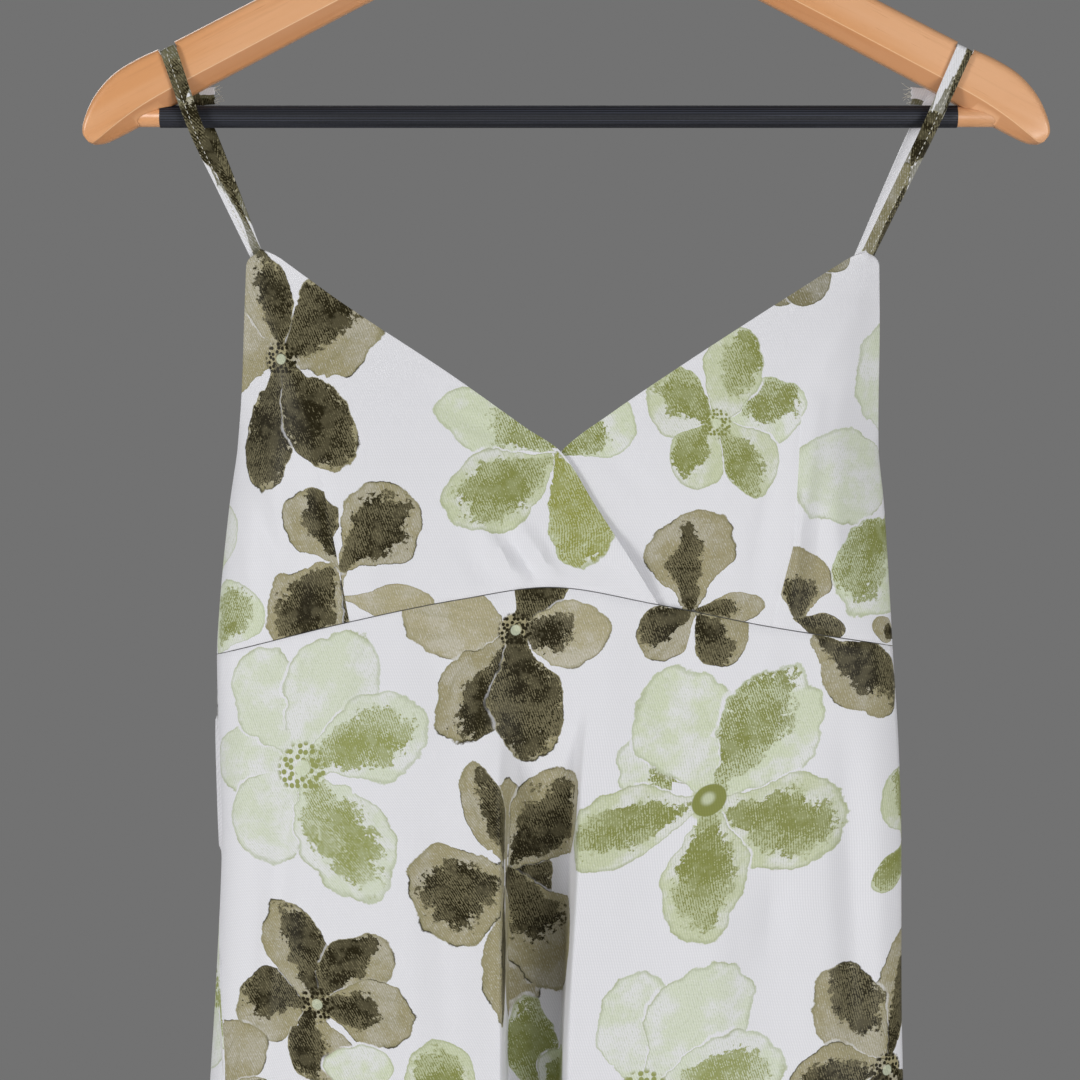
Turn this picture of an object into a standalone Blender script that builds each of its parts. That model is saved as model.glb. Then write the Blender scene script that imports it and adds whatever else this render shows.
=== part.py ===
"""Sleeveless crossover dress with thin straps, hanging on a wooden hanger with a bar and a hook.

Metres, +Z up, +X to the viewer's right, the front of the dress faces -Y. The origin is the inside
top of the hook, where the rail carries it. Heights of the dress and the hanger are worked out from
the middle of the bar and then lowered by BAR_DROP.
"""

import math

import bmesh
import bpy
from mathutils import Matrix, Vector

# Driving dimensions, in metres

MM = 0.001
WALL = 1.6 * MM            # wall of every cloth panel
SEAM_GAP = 0.3 * MM        # clear space between two panels at a seam
LAYER_GAP = 0.45 * MM      # clear space between two layers that lie on each other
LAYER_FULL = 18.0 * MM      # the right cup lies back this far past the left cup's edge
LAYER_FADE = 18.0 * MM     # and comes forward again over this width
SEAM_STRIP = 1.0 * MM      # flat strip beside a side seam, so that both ends face each other

HOOK_WIRE = 4.0 * MM
HOOK_INSIDE_RADIUS = 18.0 * MM
HOOK_SHANK_IN_WOOD = 20.0 * MM
CROWN_BELOW_ORIGIN = 62.0 * MM
CROWN_ABOVE_BAR = 121.0 * MM
BAR_DROP = CROWN_BELOW_ORIGIN + CROWN_ABOVE_BAR

ARM_DEPTH = 15.0 * MM
NOTCH_WIDTH = 8.4 * MM
NOTCH_DEPTH = 3.6 * MM
NOTCH_X = 183.5 * MM
ARM_SLOPE = math.radians(27.4)

DOWEL_RADIUS = 4.2 * MM
DOWEL_HALF_LENGTH = 205.5 * MM
SLEEVE_RADIUS = 5.1 * MM
SLEEVE_FROM = -186.6 * MM
SLEEVE_TO = 179.7 * MM

STRAP_THICKNESS = 1.4 * MM
STRAP_WIDTH_AT_HANGER = 7.4 * MM
STRAP_WIDTH_AT_CUP = 5.4 * MM
STRAP_CLEARANCE = 0.45 * MM
STRAP_TUCK = 8.0 * MM      # length of strap sewn behind the cup or the back

ROUNDNESS = 2.4            # exponent of the body's cross section, 2 is an ellipse
UNDERARM_Z = -156.0 * MM
ARMHOLE_RISE = 70.0 * MM   # height over which the cup's side edge leaves the side seam's plane
ARMHOLE_INSET = 0.10       # how far the cup's point lies in from the round side, as a share

# Hanger arm, right half: the arm's upper and lower edge at stations from the crown to the tip,
# in millimetres from the middle of the bar
ARM_COLUMNS = ("upper_x", "upper_z", "lower_x", "lower_z", "depth_share")
ARM_STATIONS = (
    (0.0, 121.0, 0.0, 97.0, 1.0),
    (14.0, 118.2, 9.0, 95.6, 1.0),
    (34.0, 109.3, 23.0, 88.4, 1.0),
    (60.0, 95.9, 48.0, 74.9, 1.0),
    (120.0, 64.9, 108.5, 43.5, 1.0),
    (179.0, 34.4, 167.0, 12.4, 1.0),
    (196.0, 26.4, 181.0, 4.4, 1.0),
    (207.5, 19.2, 189.5, -0.6, 1.0),
    (216.0, 9.6, 198.5, -5.6, 0.98),
    (220.8, -0.6, 206.5, -9.8, 0.93),
    (222.0, -7.6, 212.0, -12.2, 0.80),
    (219.6, -11.6, 216.2, -12.8, 0.55),
)
ARM_STEPS_BETWEEN_STATIONS = 2

# Outline of an arm's section, each row its height from the lower edge and its half depth, as shares
ARM_SECTION = (
    (0.00, 0.36),
    (0.05, 0.56),
    (0.28, 1.00),
    (0.84, 1.00),
    (0.95, 0.78),
    (1.00, 0.40),
)

# Outline of the dress from the front: left and right side at heights from the bar, millimetres,
# with the depth of the front and the back half at the middle
BODY_COLUMNS = ("z", "left", "right", "front", "back")
BODY_SECTIONS = (
    (-60.0, -145.0, 142.0, 20.0, 15.0),
    (-110.0, -147.0, 142.4, 22.0, 16.0),
    (-150.0, -150.6, 143.4, 23.5, 17.0),
    (-180.0, -154.8, 146.2, 24.5, 18.0),
    (-225.0, -159.2, 149.0, 25.0, 19.5),
    (-247.0, -160.4, 150.2, 25.0, 20.0),
    (-290.0, -159.4, 152.8, 25.5, 21.5),
    (-330.0, -158.2, 154.0, 26.5, 23.0),
    (-400.0, -161.0, 154.1, 29.0, 25.0),
    (-440.0, -163.4, 154.8, 31.0, 27.0),
    (-600.0, -173.0, 163.0, 41.0, 35.0),
    (-780.0, -187.0, 177.0, 53.0, 45.0),
    (-940.0, -201.0, 191.0, 62.0, 52.0),
)
HEM_Z = -940.0 * MM
SIDE_SEAM_Z = -245.0 * MM  # about where the empire seam meets the sides

# Empire seam on the front and the back, millimetres
SEAM_COLUMNS = ("x", "front_z", "back_z")
SEAM_LINE = (
    (-170.0, -249.0, -249.0),
    (-160.4, -247.0, -247.0),
    (-98.0, -231.7, -240.5),
    (-47.0, -221.3, -237.5),
    (-8.0, -216.0, -236.8),
    (41.4, -223.9, -237.2),
    (92.4, -234.0, -239.5),
    (150.2, -243.2, -243.2),
    (160.0, -245.0, -245.0),
)

# Neckline edges, from the cup's point to the seam, millimetres. The left one shows all the way,
# the right one goes under the left cup at the V
NECK_COLUMNS = ("x", "z")
LEFT_NECKLINE = (
    (-135.6, -62.4),
    (-99.3, -88.7),
    (-53.3, -119.1),
    (-17.9, -144.2),
    (-2.3, -155.0),
    (12.0, -177.4),
    (28.0, -202.2),
    (41.4, -223.9),
)
RIGHT_NECKLINE = (
    (132.6, -63.6),
    (86.9, -92.9),
    (52.4, -115.4),
    (20.0, -137.4),
    (-2.3, -154.4),
    (-18.0, -177.0),
    (-31.0, -200.0),
    (-41.0, -220.3),
)
CUP_POINT_Z = -64.0 * MM

# Fullness of each cup round the end of its dart, millimetres
BUST_COLUMNS = ("x", "z", "forward", "half_width", "half_height")
BUST_POINTS = (
    (-112.0, -158.0, 8.0, 34.0, 46.0),
    (104.0, -146.0, 8.0, 34.0, 46.0),
)

# The deep fold in the middle of the front skirt: its two edges, depth and edge softness
FOLD_COLUMNS = ("z", "left", "right", "depth", "left_soft", "right_soft")
CENTRE_FOLD = (
    (-216.0, -22.0, 13.0, 0.0, 22.0, 16.0),
    (-262.0, -24.0, 8.5, 1.2, 20.0, 10.0),
    (-300.0, -26.0, 4.8, 7.0, 15.0, 7.0),
    (-345.0, -28.5, 2.6, 12.5, 10.0, 6.0),
    (-443.0, -28.2, -2.8, 20.0, 7.0, 6.0),
    (-600.0, -34.0, 0.0, 28.0, 11.0, 10.0),
    (-940.0, -50.0, 14.0, 46.0, 18.0, 17.0),
)

# Softer folds: place at the top and at the hem, half width and depth at the hem, start height
SOFT_FOLD_COLUMNS = ("side", "top_x", "hem_x", "half_width", "depth", "start_z")
SOFT_FOLDS = (
    ("front", 93.0, 104.0, 27.0, 30.0, -335.0),
    ("front", -98.0, -124.0, 25.0, 26.0, -400.0),
    ("back", -92.0, -112.0, 26.0, 27.0, -280.0),
    ("back", -8.0, -14.0, 30.0, 30.0, -260.0),
    ("back", 78.0, 94.0, 27.0, 24.0, -300.0),
)

SOFT_FOLD_START = 0.55     # width of a soft fold at its top, as a share of its width at the hem
SOFT_FOLD_GROWTH = 1.25    # power by which it deepens on the way down

# How far the left side seam lies round on the front, in degrees
SEAM_TURN_COLUMNS = ("z", "degrees")
LEFT_SEAM_TURN = (
    (-60.0, 0.0),
    (-350.0, 0.0),
    (-400.0, 12.0),
    (-445.0, 20.0),
    (-700.0, 16.0),
    (-940.0, 10.0),
)

# Centre lines of the straps in front of the hanger and behind it, x and z in millimetres
STRAP_FRONT = {
    "left": ((-169.6, -5.5), (-157.6, -31.0), (-141.6, -64.4)),
    "right": ((166.4, -5.5), (152.4, -34.0), (137.6, -64.4)),
}
STRAP_BACK = {
    "left": ((-165.4, -5.5), (-139.0, -73.0), (-106.5, -158.6)),
    "right": ((162.0, -5.5), (132.5, -72.0), (94.5, -158.6)),
}

# Top edge of the back, millimetres
BACK_TOP_COLUMNS = ("x", "z")
BACK_TOP = (
    (-160.0, -156.0),
    (-150.6, -156.0),
    (-106.0, -160.0),
    (-5.0, -164.0),
    (95.0, -160.0),
    (143.6, -156.0),
    (152.0, -156.0),
)

# Raw strap ends behind the hanger
TAIL_START_X = {"left": -177.6 * MM, "right": 174.8 * MM}
TAIL_LENGTH = 15.0 * MM
TAIL_WIDTH = 8.0 * MM
TAIL_RISE = 9.5 * MM       # height of the raw strap end above the bar
TAIL_TILT = 1.6 * MM       # rise from its sewn end to its raw end
TAIL_LIFT = 0.8 * MM       # how far its raw end stands off behind


# Small helpers

def clear_scene():
    for thing in list(bpy.data.objects):
        bpy.data.objects.remove(thing, do_unlink=True)


def make_collection(name):
    collection = bpy.data.collections.new(name)
    bpy.context.scene.collection.children.link(collection)
    return collection


def make_material(name, colour, roughness, metallic=0.0):
    material = bpy.data.materials.new(name)
    material.use_nodes = True
    shader = material.node_tree.nodes["Principled BSDF"]
    shader.inputs["Base Color"].default_value = (*colour, 1.0)
    shader.inputs["Roughness"].default_value = roughness
    shader.inputs["Metallic"].default_value = metallic
    return material


def add_object(name, mesh, material, collection):
    thing = bpy.data.objects.new(name, mesh)
    collection.objects.link(thing)
    if material is not None:
        mesh.materials.append(material)
    return thing


def smooth_step(value):
    held = min(max(value, 0.0), 1.0)
    return held * held * (3.0 - 2.0 * held)


def read_table(table, columns, key, column, at):
    """Smooth value of a column where the key column has the value at, both in the table's units."""
    keys = [row[columns.index(key)] for row in table]
    values = [row[columns.index(column)] for row in table]
    if keys[0] > keys[-1]:
        keys.reverse()
        values.reverse()
    if at <= keys[0]:
        return values[0]
    if at >= keys[-1]:
        return values[-1]
    upper = next(index for index, edge in enumerate(keys) if edge >= at)
    lower = upper - 1
    span = keys[upper] - keys[lower]
    share = (at - keys[lower]) / span

    def slope(index):
        if index == 0 or index == len(keys) - 1:
            near = 1 if index == 0 else index
            return (values[near] - values[near - 1]) / (keys[near] - keys[near - 1])
        before = (values[index] - values[index - 1]) / (keys[index] - keys[index - 1])
        after = (values[index + 1] - values[index]) / (keys[index + 1] - keys[index])
        if before * after <= 0.0:
            return 0.0
        return 2.0 * before * after / (before + after)

    square, cube = share * share, share * share * share
    return (
        values[lower] * (2.0 * cube - 3.0 * square + 1.0)
        + slope(lower) * span * (cube - 2.0 * square + share)
        + values[upper] * (3.0 * square - 2.0 * cube)
        + slope(upper) * span * (cube - square)
    )


def body_value(column, z):
    return read_table(BODY_SECTIONS, BODY_COLUMNS, "z", column, z / MM) * MM


def seam_height(x, side):
    return read_table(SEAM_LINE, SEAM_COLUMNS, "x", side + "_z", x / MM) * MM


# Cloth surface

def soft_fold_depth(side, x, z):
    total = 0.0
    for row in SOFT_FOLDS:
        fold = dict(zip(SOFT_FOLD_COLUMNS, row))
        if fold["side"] != side:
            continue
        down = (fold["start_z"] - z / MM) / (fold["start_z"] - HEM_Z / MM)
        if down <= 0.0:
            continue
        middle = fold["top_x"] + (fold["hem_x"] - fold["top_x"]) * down
        width = fold["half_width"] * (SOFT_FOLD_START + (1.0 - SOFT_FOLD_START) * down)
        across = (x / MM - middle) / width
        total += fold["depth"] * MM * down ** SOFT_FOLD_GROWTH * math.exp(-1.4 * across * across)
    return total


def centre_fold_depth(x, z):
    fold = {
        column: read_table(CENTRE_FOLD, FOLD_COLUMNS, "z", column, z / MM)
        for column in FOLD_COLUMNS[1:]
    }
    rise_left = smooth_step((x / MM - fold["left"]) / fold["left_soft"] + 0.5)
    rise_right = smooth_step((fold["right"] - x / MM) / fold["right_soft"] + 0.5)
    return fold["depth"] * MM * rise_left * rise_right


def bust_fullness(x, z):
    total = 0.0
    for row in BUST_POINTS:
        bust = dict(zip(BUST_COLUMNS, row))
        across = (x / MM - bust["x"]) / bust["half_width"]
        up = (z / MM - bust["z"]) / bust["half_height"]
        total += bust["forward"] * MM * math.exp(-0.5 * (across * across + up * up))
    return total


def body_depth(side, x, z):
    """Distance of the cloth's outer face from the plane of the side seams."""
    left, right = body_value("left", z), body_value("right", z)
    middle, half = 0.5 * (left + right), 0.5 * (right - left)
    share = min(abs(x - middle) / half, 1.0)
    armhole = smooth_step((z - UNDERARM_Z) / ARMHOLE_RISE)
    if side == "front":
        share *= 1.0 - ARMHOLE_INSET * armhole
    profile = max(1.0 - share ** ROUNDNESS, 0.0) ** (1.0 / ROUNDNESS)
    depth = body_value(side, z) * profile
    inner = smooth_step((1.0 - share) * 6.0)
    depth -= soft_fold_depth(side, x, z) * inner
    if side == "front":
        depth += bust_fullness(x, z) * inner
        depth -= centre_fold_depth(x, z)
    return depth


def section_x(angle, z):
    """Place across the body of an angle round it: 180 degrees is the left side, 0 the right."""
    left, right = body_value("left", z), body_value("right", z)
    cosine = math.cos(angle)
    reach = math.copysign(abs(cosine) ** (2.0 / ROUNDNESS), cosine)
    return 0.5 * (left + right) + 0.5 * (right - left) * reach


def left_seam_angle(z):
    turn = read_table(LEFT_SEAM_TURN, SEAM_TURN_COLUMNS, "z", "degrees", z / MM)
    return math.radians(turn)


# Panels are grids whose columns run across and whose rows run up. A panel's first and last column
# make a short strip that is flat across the side seam, so that the two walls meet face to face.

def grid_object(name, columns, rows, place, material, collection, thickness, outward):
    """An open grid shaped by place(column, row), given its wall by Solidify."""
    mesh = bpy.data.meshes.new(name)
    shape = bmesh.new()
    bmesh.ops.create_grid(shape, x_segments=columns - 1, y_segments=rows - 1, size=0.5)
    for vertex in shape.verts:
        column = round((vertex.co.x + 0.5) * (columns - 1))
        row = round((vertex.co.y + 0.5) * (rows - 1))
        vertex.co = place(column, row)
    shape.to_mesh(mesh)
    shape.free()
    mesh.shade_smooth()
    thing = add_object(name, mesh, material, collection)
    wall = thing.modifiers.new("Wall", "SOLIDIFY")
    wall.thickness = thickness
    wall.offset = 1.0 if outward else -1.0
    wall.use_even_offset = False
    return thing


def side_point(side, x, z):
    """A point of the outer face, as seen from the front at x and z."""
    sign = -1.0 if side == "front" else 1.0
    return Vector((x, sign * body_depth(side, x, z), z))


def seam_point(z, left):
    """The side seam's place and the direction round the body from back to front there."""
    if not left:
        return Vector((body_value("right", z), 0.0, z)), Vector((0.0, -1.0, 0.0))
    turn = left_seam_angle(z)
    if turn <= 0.0:
        return Vector((body_value("left", z), 0.0, z)), Vector((0.0, -1.0, 0.0))
    before = round_point(z, turn - 0.04)
    after = round_point(z, turn + 0.04)
    return round_point(z, turn), (after - before).normalized()


def round_point(z, turn):
    """Outer face at an angle from the left side, positive towards the front."""
    side = "front" if turn >= 0.0 else "back"
    return side_point(side, section_x(math.pi - abs(turn), z), z)


def lowered(point):
    return Vector((point.x, point.y, point.z - BAR_DROP))


# Skirt

SKIRT_ROWS = (0.0, 0.03, 0.075, 0.13, 0.19, 0.25, 0.31, 0.38, 0.45, 0.52, 0.60, 0.68, 0.76, 0.84,
              0.92, 1.0)
LEFT_COLUMNS = 14
FOLD_SPREAD = (-1.5, -0.85, -0.45, -0.1, 0.3, 0.8)
RIGHT_COLUMNS = 15
BACK_COLUMNS = 29


def skirt_height(share, x, side):
    top = seam_height(x, side) - SEAM_GAP
    return top + (HEM_Z - top) * share


def front_columns(z):
    """Places across the front skirt: round the left side, across the fold, round the right."""
    fold = {
        column: read_table(CENTRE_FOLD, FOLD_COLUMNS, "z", column, z / MM) * MM
        for column in FOLD_COLUMNS[1:]
    }
    folds = [fold["left"] + share * fold["left_soft"] for share in FOLD_SPREAD]
    folds += [fold["right"] - share * fold["right_soft"] for share in reversed(FOLD_SPREAD)]
    left, right = body_value("left", z), body_value("right", z)
    middle, half = 0.5 * (left + right), 0.5 * (right - left)

    def angle_of(x):
        share = (x - middle) / half
        return math.acos(math.copysign(abs(share) ** (ROUNDNESS / 2.0), share))

    first, last = angle_of(folds[0]), angle_of(folds[-1])
    start = math.pi - left_seam_angle(z)
    across = []
    for index in range(1, LEFT_COLUMNS):
        angle = start + (first - start) * index / LEFT_COLUMNS
        across.append(section_x(angle, z))
    across += folds
    for index in range(1, RIGHT_COLUMNS):
        angle = last + (0.0 - last) * index / RIGHT_COLUMNS
        across.append(section_x(angle, z))
    return across


def strip_ends(z, towards_front):
    """Two points beside each side seam, on the front or the back side of it."""
    ends = []
    for left in (True, False):
        point, forward = seam_point(z, left)
        step = forward if towards_front else -forward
        ends.append((point + step * SEAM_GAP * 0.5, point + step * SEAM_STRIP))
    return ends


def build_skirt_front(material, collection):
    guide = {}

    def row_points(row):
        if row not in guide:
            share = SKIRT_ROWS[len(SKIRT_ROWS) - 1 - row]
            places = front_columns(skirt_height(share, 0.0, "front"))
            points = []
            for x in places:
                points.append(side_point("front", x, skirt_height(share, x, "front")))
            left_z = skirt_height(share, body_value("left", points[0].z), "front")
            right_z = skirt_height(share, body_value("right", points[-1].z), "front")
            left_ends = strip_ends(left_z, True)[0]
            right_ends = strip_ends(right_z, True)[1]
            guide[row] = [*left_ends, *points, *reversed(right_ends)]
        return guide[row]

    columns = len(row_points(0))
    return grid_object("skirt_front", columns, len(SKIRT_ROWS),
                       lambda column, row: lowered(row_points(row)[column]),
                       material, collection, WALL, False)


def build_skirt_back(material, collection):
    guide = {}

    def row_points(row):
        if row not in guide:
            share = SKIRT_ROWS[len(SKIRT_ROWS) - 1 - row]
            level = skirt_height(share, 0.0, "back")
            start = -left_seam_angle(level)
            points = []
            for index in range(1, BACK_COLUMNS):
                turn = start + (math.pi - start) * index / BACK_COLUMNS
                if turn < 0.0:
                    points.append(round_point(level, -turn))
                    continue
                x = section_x(math.pi - turn, level)
                points.append(side_point("back", x, skirt_height(share, x, "back")))
            left_z = skirt_height(share, body_value("left", level), "back")
            right_z = skirt_height(share, body_value("right", level), "back")
            left_ends = strip_ends(left_z, False)[0]
            right_ends = strip_ends(right_z, False)[1]
            guide[row] = [*left_ends, *points, *reversed(right_ends)]
        return guide[row]

    columns = len(row_points(0))
    return grid_object("skirt_back", columns, len(SKIRT_ROWS),
                       lambda column, row: lowered(row_points(row)[columns - 1 - column]),
                       material, collection, WALL, False)


# Bodice

CUP_COLUMNS = 15
CUP_ROWS = 15
CUP_TURN = math.radians(112.0)     # spreads a cup's columns, close together at the side
BODICE_BACK_ROWS = 6
BODICE_BACK_COLUMNS = 25


def curve_point(table, share):
    """A point at a share of a neckline's length, from the seam (0) to the cup's point (1)."""
    points = [Vector((x * MM, z * MM)) for x, z in reversed(table)]
    lengths = [0.0]
    for before, after in zip(points, points[1:]):
        lengths.append(lengths[-1] + (after - before).length)
    target = share * lengths[-1]
    upper = next((i for i, length in enumerate(lengths) if length >= target), len(points) - 1)
    upper = max(upper, 1)
    before, after = points[upper - 1], points[upper]
    span = lengths[upper] - lengths[upper - 1]
    part = (target - lengths[upper - 1]) / span
    ahead = points[min(upper + 1, len(points) - 1)] - before
    behind = after - points[max(upper - 2, 0)]
    ahead = ahead.normalized() * span
    behind = behind.normalized() * span
    square, cube = part * part, part * part * part
    return (
        before * (2.0 * cube - 3.0 * square + 1.0)
        + behind * (cube - 2.0 * square + part)
        + after * (3.0 * square - 2.0 * cube)
        + ahead * (cube - square)
    )


def layer_inset(x, z):
    """How far the right cup lies behind the left one, fading out past the left cup's edge."""
    edge = read_table(LEFT_NECKLINE, NECK_COLUMNS, "z", "x", z / MM) * MM
    past = (x - edge - LAYER_FULL) / LAYER_FADE
    return (WALL + LAYER_GAP) * (1.0 - smooth_step(past))


def build_cup(name, left, neckline, material, collection):
    side = "left" if left else "right"
    bottom = seam_height(body_value(side, SIDE_SEAM_Z), "front") + SEAM_GAP

    def side_edge(share):
        z = bottom + (CUP_POINT_Z - bottom) * share
        return Vector((body_value(side, z), z))

    def outer_face(x, z):
        point = side_point("front", x, z)
        if not left:
            point.y += layer_inset(x, z)
        return point

    def row_points(share):
        edge, neck = side_edge(share), curve_point(neckline, share)
        low_edge, low_neck = side_edge(0.0), curve_point(neckline, 0.0)
        points = []
        for index in range(1, CUP_COLUMNS):
            turn = CUP_TURN * index / (CUP_COLUMNS - 1)
            across = (1.0 - math.cos(turn)) / (1.0 - math.cos(CUP_TURN))
            flat = edge.lerp(neck, across)
            low = low_edge.lerp(low_neck, across)
            arch = seam_height(low.x, "front") + SEAM_GAP - low.y
            z = flat.y + arch * (1.0 - share)
            points.append(outer_face(flat.x, z))
        z = edge.y
        on_seam, forward = seam_point(z, left)
        armhole = smooth_step((z - UNDERARM_Z) / ARMHOLE_RISE)
        if z <= UNDERARM_Z:
            near, far = on_seam + forward * SEAM_STRIP, on_seam + forward * SEAM_GAP * 0.5
        else:
            near = outer_face(edge.x, z)
            near.y = min(near.y, -SEAM_STRIP)
            away = (near - points[0]).normalized()
            straight = Vector((0.0, 1.0, 0.0)).lerp(away, armhole).normalized()
            far = near + straight * (SEAM_STRIP - SEAM_GAP * 0.5)
        return [far, near, *points]

    rows = [row_points(row / (CUP_ROWS - 1)) for row in range(CUP_ROWS)]
    columns = len(rows[0])

    def place(column, row):
        step = column if left else columns - 1 - column
        return lowered(rows[row][step])

    return grid_object(name, columns, CUP_ROWS, place, material, collection, WALL, False)


def build_bodice_back(material, collection):
    def row_points(share):
        points = []
        for index in range(1, BODICE_BACK_COLUMNS):
            angle = math.pi * (1.0 - index / BODICE_BACK_COLUMNS)
            x = section_x(angle, 0.5 * (UNDERARM_Z + SIDE_SEAM_Z))
            bottom = seam_height(x, "back")
            top = read_table(BACK_TOP, BACK_TOP_COLUMNS, "x", "z", x / MM) * MM
            z = bottom + (top - bottom) * share
            points.append(side_point("back", section_x(angle, z), z))
        ends = []
        for column in ("left", "right"):
            bottom = seam_height(body_value(column, SIDE_SEAM_Z), "back")
            z = bottom + (UNDERARM_Z - bottom) * share
            ends.append(strip_ends(z, False)[0 if column == "left" else 1])
        return [*ends[0], *points, *reversed(ends[1])]

    rows = [row_points(row / (BODICE_BACK_ROWS - 1)) for row in range(BODICE_BACK_ROWS)]
    columns = len(rows[0])
    return grid_object("bodice_back", columns, BODICE_BACK_ROWS,
                       lambda column, row: lowered(rows[row][columns - 1 - column]),
                       material, collection, WALL, False)


# Straps

def strap_route(side):
    """Inner face of a strap, from behind the cup's point, over the arm's notch, to the back."""
    sign = -1.0 if side == "left" else 1.0
    along_arm = Vector((-sign * math.cos(ARM_SLOPE), 0.0, math.sin(ARM_SLOPE)))
    out_of_arm = Vector((sign * math.sin(ARM_SLOPE), 0.0, math.cos(ARM_SLOPE)))
    floor = notch_floor(side)
    half = ARM_DEPTH * 0.5
    clear = STRAP_CLEARANCE
    layers = WALL + STRAP_THICKNESS

    def hanging_run(points, sewn):
        """Points down one face of the hanger, drifting to the depth where the strap is sewn."""
        hung = [Vector((x * MM, 0.0, z * MM)) for x, z in points]
        hung.append(hung[-1] + (hung[-1] - hung[-2]).normalized() * STRAP_TUCK)
        for index, point in enumerate(hung):
            drift = smooth_step(1.3 * index / (len(hung) - 1))
            point.y = half + clear + (sewn - half - clear) * drift
        return hung

    cup_x = STRAP_FRONT[side][-1][0] * MM + sign * STRAP_WIDTH_AT_CUP * 0.5
    cup_inside = body_depth("front", hung_x(side, cup_x), CUP_POINT_Z) - layers - 2.0 * LAYER_GAP
    back_x = STRAP_BACK[side][-1][0] * MM + sign * STRAP_WIDTH_AT_CUP * 0.5
    back_inside = body_depth("back", back_x, UNDERARM_Z) - layers - LAYER_GAP
    front = hanging_run(STRAP_FRONT[side], cup_inside)
    back = hanging_run(STRAP_BACK[side], back_inside)
    route = [Vector((point.x, -point.y, point.z)) for point in reversed(front)]
    corners = []
    for corner in range(3):
        angle = math.radians(45.0 * corner)
        corners.append((half + clear * math.cos(angle), clear * math.sin(angle)))
    for depth, height in corners:
        route.append(floor + out_of_arm * height + Vector((0.0, -depth, 0.0)))
    for depth, height in reversed(corners):
        route.append(floor + out_of_arm * height + Vector((0.0, depth, 0.0)))
    route += back
    return route, along_arm


def hung_x(side, x):
    """Keeps a strap's place on the cup within the cup's own width."""
    edge = body_value(side, CUP_POINT_Z)
    return max(x, edge) if side == "left" else min(x, edge)


def notch_floor(side):
    """Middle of the flat floor of the notch in the arm's upper edge."""
    sign = -1.0 if side == "left" else 1.0
    upper = read_table(ARM_STATIONS, ARM_COLUMNS, "upper_x", "upper_z", NOTCH_X / MM) * MM
    out_of_arm = Vector((sign * math.sin(ARM_SLOPE), 0.0, math.cos(ARM_SLOPE)))
    return Vector((sign * NOTCH_X, 0.0, upper)) - out_of_arm * NOTCH_DEPTH


def build_strap(side, material, collection):
    route, along_arm = strap_route(side)
    count = len(route)
    lengths = [0.0]
    for before, after in zip(route, route[1:]):
        lengths.append(lengths[-1] + (after - before).length)
    top = lengths[len(STRAP_FRONT[side]) + 3]

    def width_direction(index):
        run = route[min(index + 1, count - 1)] - route[max(index - 1, 0)]
        flat = Vector((run.x, 0.0, run.z))
        if abs(run.y) > 0.5 * run.length:
            return along_arm
        across = Vector((flat.z, 0.0, -flat.x)).normalized()
        if across.dot(along_arm) < 0.0:
            across = -across
        return across

    def place(column, row):
        share = min(abs(lengths[row] - top) / top, 1.0)
        width = STRAP_WIDTH_AT_HANGER + (STRAP_WIDTH_AT_CUP - STRAP_WIDTH_AT_HANGER) * share
        offset = (column / 2.0 - 0.5) * width
        if side == "left":
            return lowered(route[row] + width_direction(row) * offset)
        return lowered(route[row] - width_direction(row) * offset)

    return grid_object("strap_" + side, 3, count, place, material, collection,
                       STRAP_THICKNESS, True)


def build_strap_tail(side, material, collection):
    """The raw end of a strap, lying behind the strap's back run and pointing inwards."""
    sign = -1.0 if side == "left" else 1.0
    depth = ARM_DEPTH * 0.5 + STRAP_CLEARANCE + STRAP_THICKNESS + LAYER_GAP

    def place(column, row):
        out = column / 2.0
        x = TAIL_START_X[side] - sign * TAIL_LENGTH * out
        rise = TAIL_RISE + TAIL_WIDTH * (row - 0.5) + TAIL_TILT * out
        return lowered(Vector((x, depth + TAIL_LIFT * out, rise)))

    def flipped(column, row):
        return place(2 - column, row)

    chosen = flipped if side == "left" else place
    return grid_object("strap_tail_" + side, 3, 2, chosen, material, collection,
                       STRAP_THICKNESS, True)


# Hanger

def arm_stations():
    """Upper and lower edge points and depth along the right arm, from the crown to the tip."""
    stations = []
    rows = [dict(zip(ARM_COLUMNS, row)) for row in ARM_STATIONS]
    for index, row in enumerate(rows[:-1]):
        for step in range(ARM_STEPS_BETWEEN_STATIONS):
            share = step / ARM_STEPS_BETWEEN_STATIONS
            station = []
            for column in ARM_COLUMNS:
                before = rows[max(index - 1, 0)][column]
                after = rows[min(index + 2, len(rows) - 1)][column]
                here, there = row[column], rows[index + 1][column]
                if index == 0:
                    mirrored = column.endswith("_x")
                    before = -rows[1][column] if mirrored else rows[1][column]
                station.append(catmull_rom(before, here, there, after, share))
            stations.append(dict(zip(ARM_COLUMNS, station)))
    stations.append(rows[-1])
    return stations


def catmull_rom(before, here, there, after, share):
    bend = 0.5 * share
    return (
        here
        + bend * (there - before)
        + bend * share * (2.0 * before - 5.0 * here + 4.0 * there - after)
        + bend * share * share * (3.0 * (here - there) + after - before)
    )


def arm_ring(station, sign):
    """One closed section of an arm: up the front face and down the back face."""
    lower = Vector((sign * station["lower_x"], 0.0, station["lower_z"])) * MM
    upper = Vector((sign * station["upper_x"], 0.0, station["upper_z"])) * MM
    half = ARM_DEPTH * 0.5 * station["depth_share"]
    ring = []
    for height, share in ARM_SECTION:
        ring.append(lower.lerp(upper, height) + Vector((0.0, -half * share, 0.0)))
    for height, share in reversed(ARM_SECTION):
        ring.append(lower.lerp(upper, height) + Vector((0.0, half * share, 0.0)))
    return ring


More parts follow.
